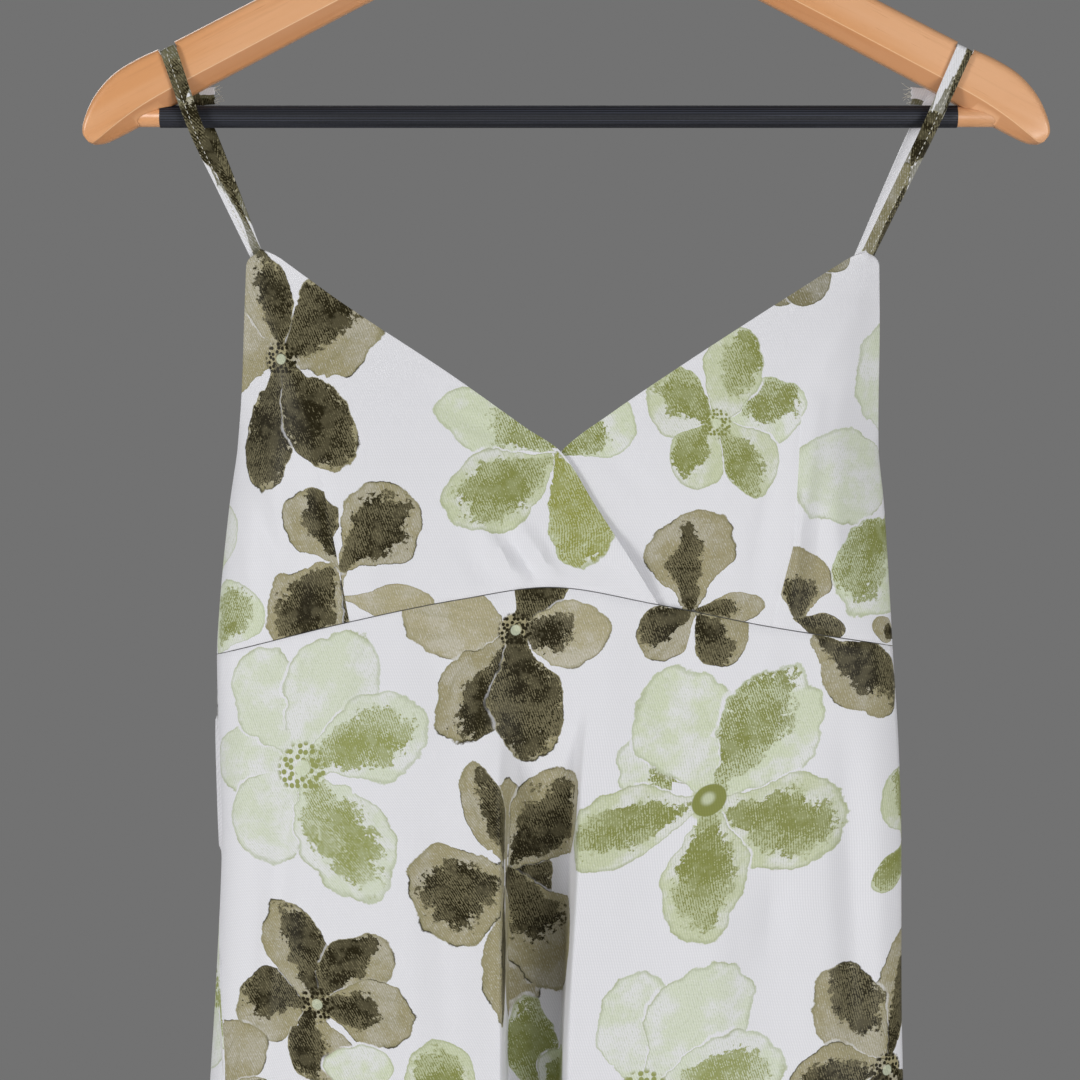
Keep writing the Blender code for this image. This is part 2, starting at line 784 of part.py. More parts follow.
def build_hanger_wood(material, collection, cutters):
    stations = arm_stations()
    rings = [arm_ring(station, -1.0) for station in reversed(stations[1:])]
    rings += [arm_ring(station, 1.0) for station in stations]
    shape = bmesh.new()
    loops = [[shape.verts.new(lowered(point)) for point in ring] for ring in rings]
    for before, after in zip(loops, loops[1:]):
        for index in range(len(before)):
            following = (index + 1) % len(before)
            shape.faces.new((before[index], after[index], after[following], before[following]))
    shape.faces.new(reversed(loops[-1]))
    shape.faces.new(loops[0])
    bmesh.ops.recalc_face_normals(shape, faces=shape.faces)
    mesh = bpy.data.meshes.new("hanger_wood")
    shape.to_mesh(mesh)
    shape.free()
    wood = add_object("hanger_wood", mesh, material, collection)
    for side in ("left", "right"):
        cut(wood, notch_cutter(side, cutters))
    cut(wood, socket_cutter(cutters))
    cut(wood, sleeve_cutter(cutters))
    cut(wood, shank_cutter(cutters))
    return wood


def cutter_object(name, mesh, cutters):
    thing = add_object(name, mesh, None, cutters)
    thing.hide_render = True
    thing.display_type = "WIRE"
    return thing


def cut(thing, cutter):
    boolean = thing.modifiers.new(cutter.name, "BOOLEAN")
    boolean.operation = "DIFFERENCE"
    boolean.solver = "EXACT"
    boolean.object = cutter


def notch_cutter(side, cutters):
    sign = -1.0 if side == "left" else 1.0
    height = 4.0 * NOTCH_DEPTH
    mesh = bpy.data.meshes.new("notch_cutter_" + side)
    shape = bmesh.new()
    scale = Matrix.Diagonal((NOTCH_WIDTH, ARM_DEPTH * 2.0, height, 1.0))
    bmesh.ops.create_cube(shape, size=1.0, matrix=scale)
    shape.to_mesh(mesh)
    shape.free()
    thing = cutter_object(mesh.name, mesh, cutters)
    out_of_arm = Vector((sign * math.sin(ARM_SLOPE), 0.0, math.cos(ARM_SLOPE)))
    thing.location = lowered(notch_floor(side) + out_of_arm * height * 0.5)
    thing.rotation_euler = (0.0, sign * ARM_SLOPE, 0.0)
    return thing


def cylinder_mesh(name, radius, length, segments):
    """A closed cylinder round the X axis."""
    mesh = bpy.data.meshes.new(name)
    shape = bmesh.new()
    turned = Matrix.Rotation(math.radians(90.0), 4, "Y")
    bmesh.ops.create_cone(shape, cap_ends=True, segments=segments, radius1=radius,
                          radius2=radius, depth=length, matrix=turned)
    shape.to_mesh(mesh)
    shape.free()
    mesh.shade_smooth()
    mesh.set_sharp_from_angle(angle=math.radians(40.0))
    return mesh


def socket_cutter(cutters):
    """The dowel's two blind sockets, cut by one rod a little longer and thicker than it."""
    length = 2.0 * (DOWEL_HALF_LENGTH + SEAM_GAP)
    mesh = cylinder_mesh("socket_cutter", DOWEL_RADIUS + SEAM_GAP, length, 20)
    thing = cutter_object(mesh.name, mesh, cutters)
    thing.location = (0.0, 0.0, -BAR_DROP)
    return thing


def sleeve_cutter(cutters):
    """Room for the sleeve's ends where the arms' lower edges reach over it."""
    length = SLEEVE_TO - SLEEVE_FROM + 2.0 * SEAM_GAP
    mesh = cylinder_mesh("sleeve_cutter", SLEEVE_RADIUS + SEAM_GAP, length, 20)
    thing = cutter_object(mesh.name, mesh, cutters)
    thing.location = (0.5 * (SLEEVE_FROM + SLEEVE_TO), 0.0, -BAR_DROP)
    return thing


def shank_cutter(cutters):
    mesh = bpy.data.meshes.new("shank_cutter")
    shape = bmesh.new()
    depth = HOOK_SHANK_IN_WOOD * 2.0
    radius = HOOK_WIRE * 0.5 + SEAM_GAP
    bmesh.ops.create_cone(shape, cap_ends=True, segments=16, radius1=radius, radius2=radius,
                          depth=depth)
    shape.to_mesh(mesh)
    shape.free()
    thing = cutter_object(mesh.name, mesh, cutters)
    thing.location = (0.0, 0.0, -CROWN_BELOW_ORIGIN)
    return thing


def build_bar(material, collection):
    mesh = cylinder_mesh("hanger_bar", DOWEL_RADIUS, 2.0 * DOWEL_HALF_LENGTH, 20)
    bar = add_object("hanger_bar", mesh, material, collection)
    bar.location = (0.0, 0.0, -BAR_DROP)
    return bar


def build_sleeve(material, collection):
    """A tube turned round the dowel from a closed rectangular profile."""
    mesh = bpy.data.meshes.new("bar_sleeve")
    inner, outer = DOWEL_RADIUS + SEAM_GAP, SLEEVE_RADIUS
    shape = bmesh.new()
    corners = ((SLEEVE_FROM, outer), (SLEEVE_TO, outer), (SLEEVE_TO, inner), (SLEEVE_FROM, inner))
    profile = [shape.verts.new((x, 0.0, radius)) for x, radius in corners]
    for index, corner in enumerate(profile):
        shape.edges.new((corner, profile[(index + 1) % len(profile)]))
    shape.to_mesh(mesh)
    shape.free()
    sleeve = add_object("bar_sleeve", mesh, material, collection)
    turn = sleeve.modifiers.new("Turn", "SCREW")
    turn.axis = "X"
    turn.angle = math.radians(360.0)
    turn.steps = 20
    turn.render_steps = 20
    turn.use_merge_vertices = True
    turn.merge_threshold = 0.00001
    turn.use_normal_flip = True
    sleeve.location = (0.0, 0.0, -BAR_DROP)
    return sleeve


def hook_points():
    """Centre line of the hook wire: the open tip, over the top, down the S bend to the shank."""
    radius = HOOK_INSIDE_RADIUS + HOOK_WIRE * 0.5
    centre_z = -HOOK_INSIDE_RADIUS
    points = []
    first, last = math.radians(205.0), math.radians(-48.0)
    steps = 20
    for step in range(steps + 1):
        angle = first + (last - first) * step / steps
        points.append((radius * math.cos(angle), centre_z + radius * math.sin(angle)))
    start = Vector(points[-1])
    leaving = Vector((math.sin(last), -math.cos(last)))
    neck_bottom = Vector((0.0, -CROWN_BELOW_ORIGIN + 8.0 * MM))
    pull = 15.0 * MM
    for step in range(1, 9):
        share = step / 8.0
        square, cube = share * share, share * share * share
        point = (
            start * (2.0 * cube - 3.0 * square + 1.0)
            + leaving * pull * 2.0 * (cube - 2.0 * square + share)
            + neck_bottom * (3.0 * square - 2.0 * cube)
            + Vector((0.0, -1.0)) * pull * 2.0 * (cube - square)
        )
        points.append((point.x, point.y))
    points.append((0.0, -CROWN_BELOW_ORIGIN - HOOK_SHANK_IN_WOOD + SEAM_GAP))
    return points


def build_hook(material, collection):
    curve = bpy.data.curves.new("hanger_hook", "CURVE")
    curve.dimensions = "3D"
    curve.bevel_depth = HOOK_WIRE * 0.5
    curve.bevel_resolution = 2
    curve.use_fill_caps = True
    points = hook_points()
    spline = curve.splines.new("POLY")
    spline.points.add(len(points) - 1)
    for slot, (x, z) in zip(spline.points, points):
        slot.co = (x, 0.0, z, 1.0)
    curve.materials.append(material)
    hook = bpy.data.objects.new("hanger_hook", curve)
    collection.objects.link(hook)
    return hook


def main():
    clear_scene()
    parts = make_collection("crossover_dress_on_hanger")
    cutters = make_collection("cutters")
    print_cloth = make_material("print_cloth", (0.80, 0.79, 0.80), 0.55)
    strap_cloth = make_material("strap_cloth", (0.30, 0.28, 0.20), 0.60)
    wood = make_material("wood", (0.70, 0.40, 0.20), 0.35)
    sleeve = make_material("black_sleeve", (0.02, 0.02, 0.025), 0.70)
    steel = make_material("steel", (0.75, 0.75, 0.76), 0.20, 1.0)

    build_cup("cup_left", True, LEFT_NECKLINE, print_cloth, parts)
    build_cup("cup_right", False, RIGHT_NECKLINE, print_cloth, parts)
    build_bodice_back(print_cloth, parts)
    build_skirt_front(print_cloth, parts)
    build_skirt_back(print_cloth, parts)
    for side in ("left", "right"):
        build_strap(side, strap_cloth, parts)
        build_strap_tail(side, strap_cloth, parts)
    build_hanger_wood(wood, parts, cutters)
    build_bar(wood, parts)
    build_sleeve(sleeve, parts)
    build_hook(steel, parts)


main()
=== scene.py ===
import math
import random

import bmesh
import bpy
import numpy
from mathutils import Matrix, Vector


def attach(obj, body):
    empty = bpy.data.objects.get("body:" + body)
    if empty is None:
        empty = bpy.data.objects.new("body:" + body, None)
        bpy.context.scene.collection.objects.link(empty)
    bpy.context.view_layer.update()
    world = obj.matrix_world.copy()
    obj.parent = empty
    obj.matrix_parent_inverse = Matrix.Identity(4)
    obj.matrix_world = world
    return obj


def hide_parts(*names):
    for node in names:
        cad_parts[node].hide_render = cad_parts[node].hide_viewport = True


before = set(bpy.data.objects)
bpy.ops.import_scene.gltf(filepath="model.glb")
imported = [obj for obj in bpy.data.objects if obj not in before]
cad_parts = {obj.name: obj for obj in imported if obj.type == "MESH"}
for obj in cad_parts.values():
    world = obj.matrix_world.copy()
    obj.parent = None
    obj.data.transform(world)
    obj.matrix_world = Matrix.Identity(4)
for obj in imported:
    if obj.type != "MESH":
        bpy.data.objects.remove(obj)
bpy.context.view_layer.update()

mm = 0.001
barDrop = 183 * mm       # the bar's middle, where places count from, is this far under the origin


def addObject(name, data):
    thing = bpy.data.objects.new(name, data)
    bpy.context.scene.collection.objects.link(thing)
    return thing


def pieceFrom(shape, name, *materials):      # a bmesh becomes a piece at the origin
    mesh = bpy.data.meshes.new(name)
    shape.to_mesh(mesh)
    shape.free()
    for material in materials:
        mesh.materials.append(material)
    return addObject(name, mesh)


def rideAs(piece, node=None):
    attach(piece, "root")
    if node:
        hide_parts(node)


view = {
    "middle": (-12.0 * mm, -194.6 * mm),   # photo's middle, x and height from the bar
    "distance": 1.6,
    "frameWidth": 0.4965,                  # what the photo's width spans at the hanger
    "sensor": 36.0,
}


def makeCamera():
    camera = addObject("camera", bpy.data.cameras.new("camera"))
    camera.data.sensor_width = view["sensor"]
    camera.data.lens = view["sensor"] * view["distance"] / view["frameWidth"]
    camera.location = (view["middle"][0], -view["distance"], view["middle"][1] - barDrop)
    camera.rotation_euler = (math.radians(90), 0, 0)
    bpy.context.scene.camera = camera


lights = {
    "key": {"at": (-1.9, -1.35, 0.0), "size": 0.7, "power": 27.5},
    "fill": {"at": (1.35, -1.85, -0.62), "size": 1.1, "power": 26.0},
    "back": {"at": (-0.7, 1.9, 0.9), "size": 1.6, "power": 19.0},
    "aim": (-0.005, 0.0, -0.42),
    "worldGrey": 0.40,
    "worldStrength": 0.42,
}
stage = {"floorBelowHem": 0.16, "floorSize": 3.2, "grey": (0.72, 0.71, 0.70)}


def makeLights():
    for name in ("key", "fill", "back"):
        spec = lights[name]
        data = bpy.data.lights.new(name + "Light", "AREA")
        data.shape = "SQUARE"
        data.size = spec["size"]
        data.energy = spec["power"]
        lamp = addObject(name + "Light", data)
        lamp.location = spec["at"]
        turn = Vector(lights["aim"]) - Vector(spec["at"])
        lamp.rotation_euler = turn.to_track_quat("-Z", "Y").to_euler()
    world = bpy.data.worlds.new("softRoom")
    world.use_nodes = True
    ground = world.node_tree.nodes["Background"]
    ground.inputs["Color"].default_value = (*[lights["worldGrey"]] * 3, 1)
    ground.inputs["Strength"].default_value = lights["worldStrength"]
    bpy.context.scene.world = world
    bpy.context.scene.view_settings.view_transform = "Standard"


# shape of the dress in millimetres, as in the solids apart from a deeper, sharper centre fold
body = {
    "z": (-60, -110, -150, -180, -225, -247, -290, -330, -400, -440, -600, -780, -940),
    "left": (-145.0, -147.0, -150.6, -154.8, -159.2, -160.4, -159.4, -158.2, -161.0, -163.4,
             -173, -187, -201),
    "right": (142.0, 142.4, 143.4, 146.2, 149.0, 150.2, 152.8, 154.0, 154.1, 154.8,
              163, 177, 191),
    "front": (20.0, 22.0, 23.5, 24.5, 25.0, 25.0, 25.5, 26.5, 29.0, 31.0, 41, 53, 62),
    "back": (15, 16, 17, 18, 19.5, 20, 21.5, 23, 25, 27, 35, 45, 52),
    "roundness": 2.4,
    "edgeFade": 6,
    "hem": -940.0,
    "underarm": -156.0,
    "armholeRise": 70.0,
    "armholeInset": 0.10,
    "cupPoint": -64.0,
    "sideSeam": -245.0,
}
seam = {
    "x": (-170, -160.4, -98, -47, -8, 41.4, 92.4, 150.2, 160),
    "front": (-249, -247, -231.7, -221.3, -216, -223.9, -234, -243.2, -245),
    "back": (-249, -247, -240.5, -237.5, -236.8, -237.2, -239.5, -243.2, -245),
    "gap": 0.3,
    "join": 0.2,           # from the seam's line to each panel's edge
}
leftNeck = {
    "x": (-135.6, -99.3, -53.3, -17.9, -2.3, 12.0, 28.0, 41.4),
    "z": (-62.4, -88.7, -119.1, -144.2, -155.0, -177.4, -202.2, -223.9),
}
rightNeck = {
    "x": (132.6, 86.9, 52.4, 20.0, -2.3, -18.0, -31.0, -41.0),
    "z": (-63.6, -92.9, -115.4, -137.4, -154.4, -177.0, -200.0, -220.3),
}
bust = ((-112, -158, 8, 34, 46), (104, -146, 8, 34, 46))   # x, z, forward, half width, half height
centreFold = {
    "z": (-216, -262, -300, -345, -443, -600, -940),
    "left": (-22, -24, -26.5, -28.0, -28.2, -34, -50),
    "right": (13, 8.5, 5.0, 3.2, -1.6, 0, 14),
    "depth": (0, 1.2, 9, 23, 38, 42, 50),
    "leftSoft": (22, 18, 10, 4.4, 3.6, 7, 16),
    "rightSoft": (16, 9, 5, 4.0, 4.0, 8, 16),
}
softFolds = {                # x at the top, x at the hem, half width, depth at the hem, start
    "front": ((93, 104, 27, 30, -335), (-98, -124, 25, 26, -400)),
    "back": ((-92, -112, 26, 27, -280), (-8, -14, 30, 30, -260), (78, 94, 27, 24, -300)),
}
foldShape = {"topWidth": 0.55, "growth": 1.25, "steepness": 1.4}
seamTurn = {"z": (-60, -350, -400, -445, -700, -940), "degrees": (0, 0, 12, 20, 16, 10)}
backTop = {"x": (-160, -150.6, -106, -5, 95, 143.6, 152),
           "z": (-156, -156, -160, -164, -160, -156, -156)}
layers = {"inset": 2.05, "full": 18.0, "fade": 18.0}       # the right cup lies behind the left one
cloth = {"wall": 1.2 * mm, "rim": 0.3 * mm, "strip": 1.0}

# creases, placed one by one: from x and z, to x and z, half width, height outwards
creases = {
    "front": ((-38, -190, -19, -214, 3.0, 1.5), (-22, -187, -4, -213, 2.8, 1.4),
              (-30, -191, -12, -214, 2.6, -1.0), (-48, -195, -33, -215, 4.5, -0.7),
              (84, -230, 98, -142, 6.0, -1.3), (99, -232, 113, -134, 5.0, 1.0),
              (-122, -232, -121, -160, 7.0, -0.8), (-140, -178, -131, -207, 5.0, -1.1),
              (-150, -190, -143, -222, 4.0, 0.7), (-114, -150, -138, -84, 9.0, 1.1),
              (-86, -206, -92, -229, 5.0, 0.6), (110, -124, 134, -80, 9.0, 1.1),
              (112, -184, 111, -216, 4.5, -1.0), (121, -176, 124, -214, 5.0, 0.7),
              (78, -150, 62, -196, 8.0, 0.6), (10, -158, 44, -190, 5.0, 0.5),
              (-62, -130, -14, -158, 4.0, -0.35), (60, -124, 26, -146, 4.0, -0.35),
              (-97, -238, -101, -282, 5.0, 0.9), (-60, -232, -52, -290, 9.0, -1.2),
              (92, -240, 94, -288, 5.0, 0.9), (52, -232, 44, -300, 9.0, -1.2),
              (22, -226, 17, -300, 7.0, 0.9), (-36, -228, -41, -300, 7.0, 0.9),
              (97, -346, 93, -384, 6.0, -1.6), (70, -330, 62, -440, 11.0, 1.7),
              (-72, -330, -66, -470, 10.0, 1.9), (-128, -300, -138, -440, 8.0, -1.9),
              (40, -270, 36, -420, 8.0, -1.0), (-44, -300, -46, -440, 6.0, 1.0),
              (128, -290, 134, -430, 8.0, -1.8), (-146, -262, -150, -330, 5.0, 0.8),
              (-46, -480, -70, -760, 14.0, 2.4), (48, -500, 66, -800, 15.0, 2.6),
              (150, -520, 166, -860, 11.0, -2.2), (-160, -560, -178, -900, 11.0, -2.4)),
    "back": ((-60, -250, -66, -330, 9.0, 1.0), (30, -252, 38, -340, 9.0, -1.0),
             (112, -256, 118, -360, 8.0, 1.1), (-128, -262, -136, -380, 8.0, -1.1),
             (-30, -176, -34, -232, 7.0, 0.5), (62, -176, 58, -234, 8.0, -0.5),
             (44, -430, 54, -800, 15.0, 2.4), (-56, -440, -68, -820, 15.0, 2.4),
             (140, -500, 158, -900, 12.0, -2.4), (-150, -480, -172, -900, 12.0, -2.4)),
}
creaseStrength = 2.3
creaseEnds = 0.35           # how much of its height a crease keeps at its ends
darts = {
    "left": {"line": ((-97.5, -236), (-113, -155), (-139, -72)), "apex": -155, "intake": 10.0},
    "right": {"line": ((92.4, -238), (103, -196), (107, -126), (136, -72)), "apex": -126,
              "intake": 12.0},
}


def smoothStep(value):
    held = min(max(value, 0.0), 1.0)
    return held * held * (3 - 2 * held)


def hermite(start, leaving, end, arriving, share):
    square, cube = share * share, share ** 3
    return (start * (2 * cube - 3 * square + 1) + leaving * (cube - 2 * square + share)
            + end * (3 * square - 2 * cube) + arriving * (cube - square))


def readTable(table, column, at, key="z"):
    keys, values = list(table[key]), list(table[column])
    if keys[0] > keys[-1]:
        keys.reverse()
        values.reverse()
    if at <= keys[0]:
        return values[0]
    if at >= keys[-1]:
        return values[-1]
    upper = next(index for index, edge in enumerate(keys) if edge >= at)
    lower = upper - 1
    span = keys[upper] - keys[lower]
    share = (at - keys[lower]) / span

    def slope(index):
        if index in (0, len(keys) - 1):
            near = max(index, 1)
            return (values[near] - values[near - 1]) / (keys[near] - keys[near - 1])
        before = (values[index] - values[index - 1]) / (keys[index] - keys[index - 1])
        after = (values[index + 1] - values[index]) / (keys[index + 1] - keys[index])
        return 2 * before * after / (before + after) if before * after > 0 else 0.0

    return hermite(values[lower], slope(lower) * span, values[upper], slope(upper) * span, share)


def seamHeight(x, side):
    return readTable(seam, side, x, "x")


def creaseHeight(side, x, z):
    total = 0.0
    for x0, z0, x1, z1, width, height in creases[side]:
        dx, dz = x1 - x0, z1 - z0
        share = ((x - x0) * dx + (z - z0) * dz) / (dx * dx + dz * dz)
        share = min(max(share, 0.0), 1.0)
        away = ((x - x0 - dx * share) ** 2 + (z - z0 - dz * share) ** 2) / (width * width)
        if away < 9:
            ends = creaseEnds + (1 - creaseEnds) * math.sin(math.pi * share)
            total += height * math.exp(-away) * ends
    return total * creaseStrength


def foldDepth(side, x, z):
    total = 0.0
    topWidth = foldShape["topWidth"]
    for topX, hemX, width, depth, start in softFolds[side]:
        down = (start - z) / (start - body["hem"])
        if down <= 0:
            continue
        across = (x - topX - (hemX - topX) * down) / (width * (topWidth + (1 - topWidth) * down))
        bulge = math.exp(-foldShape["steepness"] * across * across)
        total += depth * down ** foldShape["growth"] * bulge
    return total


def foldAt(z):
    return {column: readTable(centreFold, column, z) for column in centreFold if column != "z"}


def middleFold(x, z):
    fold = foldAt(z)
    rise = smoothStep((x - fold["left"]) / fold["leftSoft"] + 0.5)
    return fold["depth"] * rise * smoothStep((fold["right"] - x) / fold["rightSoft"] + 0.5)


def bodyDepth(side, x, z):
    left, right = readTable(body, "left", z), readTable(body, "right", z)
    share = min(abs(x - 0.5 * (left + right)) / (0.5 * (right - left)), 1.0)
    if side == "front":
        share *= 1 - body["armholeInset"] * smoothStep((z - body["underarm"]) / body["armholeRise"])
    power = body["roundness"]
    depth = readTable(body, side, z) * max(1 - share ** power, 0.0) ** (1 / power)
    inner = smoothStep((1 - share) * body["edgeFade"])      # no relief on the side edges
    depth += (creaseHeight(side, x, z) - foldDepth(side, x, z)) * inner
    if side == "front":
        for bx, bz, forward, wide, high in bust:
            reach = ((x - bx) / wide) ** 2 + ((z - bz) / high) ** 2
            depth += forward * math.exp(-0.5 * reach) * inner
        depth -= middleFold(x, z)
    return depth


def sectionX(angle, z):
    left, right = readTable(body, "left", z), readTable(body, "right", z)
    cosine = math.cos(angle)
    reach = math.copysign(abs(cosine) ** (2 / body["roundness"]), cosine)
    return 0.5 * (left + right) + 0.5 * (right - left) * reach


def facePoint(side, x, z):
    return Vector((x, (-1 if side == "front" else 1) * bodyDepth(side, x, z), z))


def roundPoint(z, turn):
    side = "front" if turn >= 0 else "back"
    return facePoint(side, sectionX(math.pi - abs(turn), z), z)


def seamPoint(z, left):
    turn = math.radians(readTable(seamTurn, "degrees", z)) if left else 0.0
    if turn <= 0:
        return Vector((readTable(body, "left" if left else "right", z), 0, z)), Vector((0, -1, 0))
    before, after = roundPoint(z, turn - 0.04), roundPoint(z, turn + 0.04)
    return roundPoint(z, turn), (after - before).normalized()


def stripEnds(z, left, towardsFront):
    point, forward = seamPoint(z, left)
    step = forward if towardsFront else -forward
    return [point + step * seam["gap"] * 0.5, point + step * cloth["strip"]]


def placed(point):
    return Vector((point.x * mm, point.y * mm, point.z * mm - barDrop))


# colours: the photo's own tones under soft light

def tone(red, green, blue):
    linear = []
    for value in (red, green, blue):
        share = value / 255
        linear.append(share / 12.92 if share <= 0.04045 else ((share + 0.055) / 1.055) ** 2.4)
    return tuple(linear)


inks = {
    "ground": tone(236, 236, 240),
    "taupe": tone(166, 158, 123),
    "taupeLight": tone(182, 174, 141),
    "taupeDeep": tone(138, 132, 101),
    "brown": tone(38, 33, 13),
    "olive": tone(112, 109, 82),
    "leaf": tone(207, 214, 180),
    "leafLight": tone(216, 224, 196),
    "grass": tone(139, 145, 80),
    "lime": tone(152, 156, 78),
    "mint": tone(219, 226, 205),
    "moss": tone(154, 161, 98),
}

# each paint: its wash, its sponged patch, how dark its outline is
paints = {
    "dark": ("taupe", "brown", 0.85),
    "pale": ("taupeLight", "brown", 0.45),
    "deep": ("taupeDeep", "brown", 0.5),
    "green": ("leaf", "grass", 0.22),
    "lime": ("leaf", "lime", 0.2),
    "soft": ("leafLight", "grass", 0.15),
    "mint": ("mint", "moss", 0.35),
    "white": ("ground", "ground", 0.0),
    "olive": ("olive", "brown", 0.4),
}

# where the sponged patch lies on a petal: along, across, half length, half width
patches = {
    "none": (-3.0, 0.0, 0.2, 0.2),
    "lens": (0.52, 0.0, 0.40, 0.58),
    "wide": (0.46, 0.0, 0.44, 0.66),
    "left": (0.47, 0.36, 0.49, 0.66),
    "right": (0.47, -0.36, 0.49, 0.66),
    "tipLeft": (0.66, 0.30, 0.34, 0.62),
    "tipRight": (0.66, -0.30, 0.34, 0.62),
    "tall": (0.36, 0.08, 0.48, 0.42),
    "full": (0.44, 0.0, 0.58, 1.05),
    "base": (0.24, 0.0, 0.36, 0.70),
}
eyes = {"dots": ("brown", 0.82), "greenDots": ("moss", 1.2), "smallDots": ("grass", 0.7),
        "button": ("grass", 0.92)}       # ink and size


def flower(x, z, eye, *petals, by=None):      # by: where the cloth is taken from, near a fold
    return {"x": x, "z": z, "eye": eye, "petals": petals, "by": by or (x, z)}


# flowers: place in millimetres, eye, then petals as angle, length, half width, paint, patch
flowers = {
    "cupLeft": [
        flower(-129.6, -112.6, "dots", (166, 46, 23, "dark", "none"),
               (34, 53, 25, "dark", "left"), (104, 52, 13, "dark", "right"),
               (257, 63, 15, "dark", "full"), (-58, 59, 17, "dark", "full")),
        flower(-2.8, -155.4, None, (155, 60, 16, "soft", "base"), (211, 58, 20, "green", "wide"),
               (-70, 56, 15, "lime", "full")),
        flower(-102.5, -207.3, None, (229, 48, 22, "dark", "wide"), (48, 46, 20, "dark", "wide"),
               by=(-94, -204)),
        flower(-102.5, -207.3, None, (229, 48, 22, "dark", "wide"),
               (117, 40, 16, "dark", "right"), by=(-112, -210)),
        flower(-99.0, -220.7, None, (-7, 40, 9, "pale", "none")),
        flower(-158.1, -210.5, None, (80, 32, 11, "soft", "none")),
        flower(-158.1, -246.0, None, (68, 35, 18, "soft", "lens")),
    ],
    "cupRight": [
        flower(-1.0, -154.4, None, (30, 38, 15, "soft", "base")),
        flower(67.9, -142.0, "smallDots", (12, 44, 15, "soft", "tipLeft"),
               (152, 35, 17, "green", "right"), (70, 46, 15, "green", "tipRight"),
               (236, 33, 14, "green", "right"), (-48, 38, 15, "green", "right")),
        flower(103.0, -63.0, None, (-118, 27, 12, "deep", "none"), (-68, 27, 13, "deep", "none")),
        flower(130.6, -58.0, None, (-140, 18, 9, "deep", "none")),
        flower(149.0, -154.0, None, (100, 60, 24, "mint", "none")),
        flower(155.0, -162.0, None, (186, 64, 24, "mint", "none")),
        flower(158.0, -176.0, None, (238, 62, 25, "soft", "right")),
        flower(59.1, -225.9, None, (95, 44, 21, "dark", "tall"), (3, 32, 7, "dark", "base")),
        flower(103.2, -230.3, None, (83, 33, 15, "dark", "base"), (-15, 25, 6, "dark", "full"),
               by=(110, -226)),
        flower(151.0, -238.0, None, (165, 17, 6, "dark", "base")),
    ],
    "skirtFront": [
        flower(59.1, -225.9, None, (218, 31, 13, "dark", "right"), (-46, 30, 14, "dark", "right")),
        flower(113.5, -238.6, None, (-37, 54, 17, "dark", "left")),
        flower(-23.1, -235.4, "dots", (172, 55, 18, "pale", "none"),
               (62, 40, 12, "dark", "full"), (-4, 43, 17, "pale", "base"),
               (241, 58, 20, "dark", "left"), (-77, 60, 18, "dark", "full")),
        flower(-119.9, -298.2, "greenDots", (168, 46, 18, "mint", "none"),
               (119, 61, 20, "mint", "none"), (231, 50, 19, "mint", "none"),
               (74, 67, 23, "mint", "none"), (22, 62, 22, "mint", "wide"),
               (-68, 61, 24, "mint", "wide")),
        flower(64.5, -312.4, "button", (152, 53, 17, "soft", "base"),
               (117, 66, 25, "soft", "none"), (58, 67, 25, "soft", "left"),
               (-15, 68, 23, "green", "lens"), (200, 63, 20, "green", "lens"),
               (-74, 68, 19, "green", "wide")),
        flower(-28.0, -350.0, None, (78, 48, 16, "dark", "none"), (-72, 66, 17, "dark", "none"),
               (4, 30, 20, "dark", "full"), by=(-28, -350)),
        flower(-28.0, -348.5, None, (-104, 69, 15, "dark", "left"),
               (99, 52, 11, "dark", "right"), (191, 52, 24, "dark", "lens")),
        flower(-28.0, -346.0, None, (52, 55, 20, "dark", "wide"), (-58, 63, 22, "dark", "base"),
               by=(-16.5, -358)),
        flower(-112.7, -405.0, "dots", (182, 39, 17, "dark", "right"),
               (104, 48, 16, "dark", "right"), (-95, 36, 15, "dark", "right"),
               (40, 46, 15, "dark", "left"), (-8, 45, 16, "dark", "base")),
        flower(34.5, -445.4, "greenDots", (103, 57, 18, "mint", "none"),
               (59, 68, 24, "mint", "none"), (11, 66, 22, "mint", "lens"),
               (-55, 58, 22, "mint", "none"), (-120, 60, 22, "mint", "wide")),
        flower(146.4, -436.3, "dots", (87, 65, 14, "dark", "right"),
               (129, 60, 18, "dark", "tipRight"), (185, 47, 16, "dark", "lens"),
               (-115, 52, 18, "dark", "full"), (-45, 50, 18, "dark", "left")),
        flower(155.8, -330.0, None, (126, 35, 13, "green", "right"),
               (250, 28, 9, "green", "full")),
        flower(-44.1, -458.8, "button", (190, 44, 18, "green", "base"),
               (120, 42, 18, "green", "wide"), (-80, 50, 20, "soft", "lens"),
               (246, 48, 18, "soft", "none")),
        flower(-12.0, -456.5, None, (98, 52, 13, "green", "full"), (58, 36, 12, "green", "lens"),
               by=(-14, -436)),
        flower(-93.0, -447.0, None, (88, 24, 17, "soft", "none")),
        flower(-160.0, -446.0, "dots", (130, 40, 16, "dark", "left"),
               (60, 38, 17, "dark", "none"), (200, 40, 16, "dark", "wide"),
               (-20, 42, 16, "dark", "tipLeft"), (-90, 46, 17, "dark", "full")),
    ],
}
petalOrder = (118, 190, 262, 334, 46)      # angles of a spare flower's petals, in painting order
spareKinds = {             # eye, then each petal's paint and patch, then its width for its length
    "brown": ("dots", (("dark", "left"), ("dark", "full"), ("dark", "none"), ("dark", "lens"),
                       ("dark", "tipRight")), (0.30, 0.40)),
    "green": ("button", (("green", "lens"), ("soft", "none"), ("green", "right"),
                         ("green", "base"), ("soft", "left")), (0.31, 0.39)),
    "mint": ("greenDots", (("mint", "none"), ("mint", "wide"), ("mint", "none"),
                           ("mint", "lens"), ("mint", "none")), (0.34, 0.41)),
}
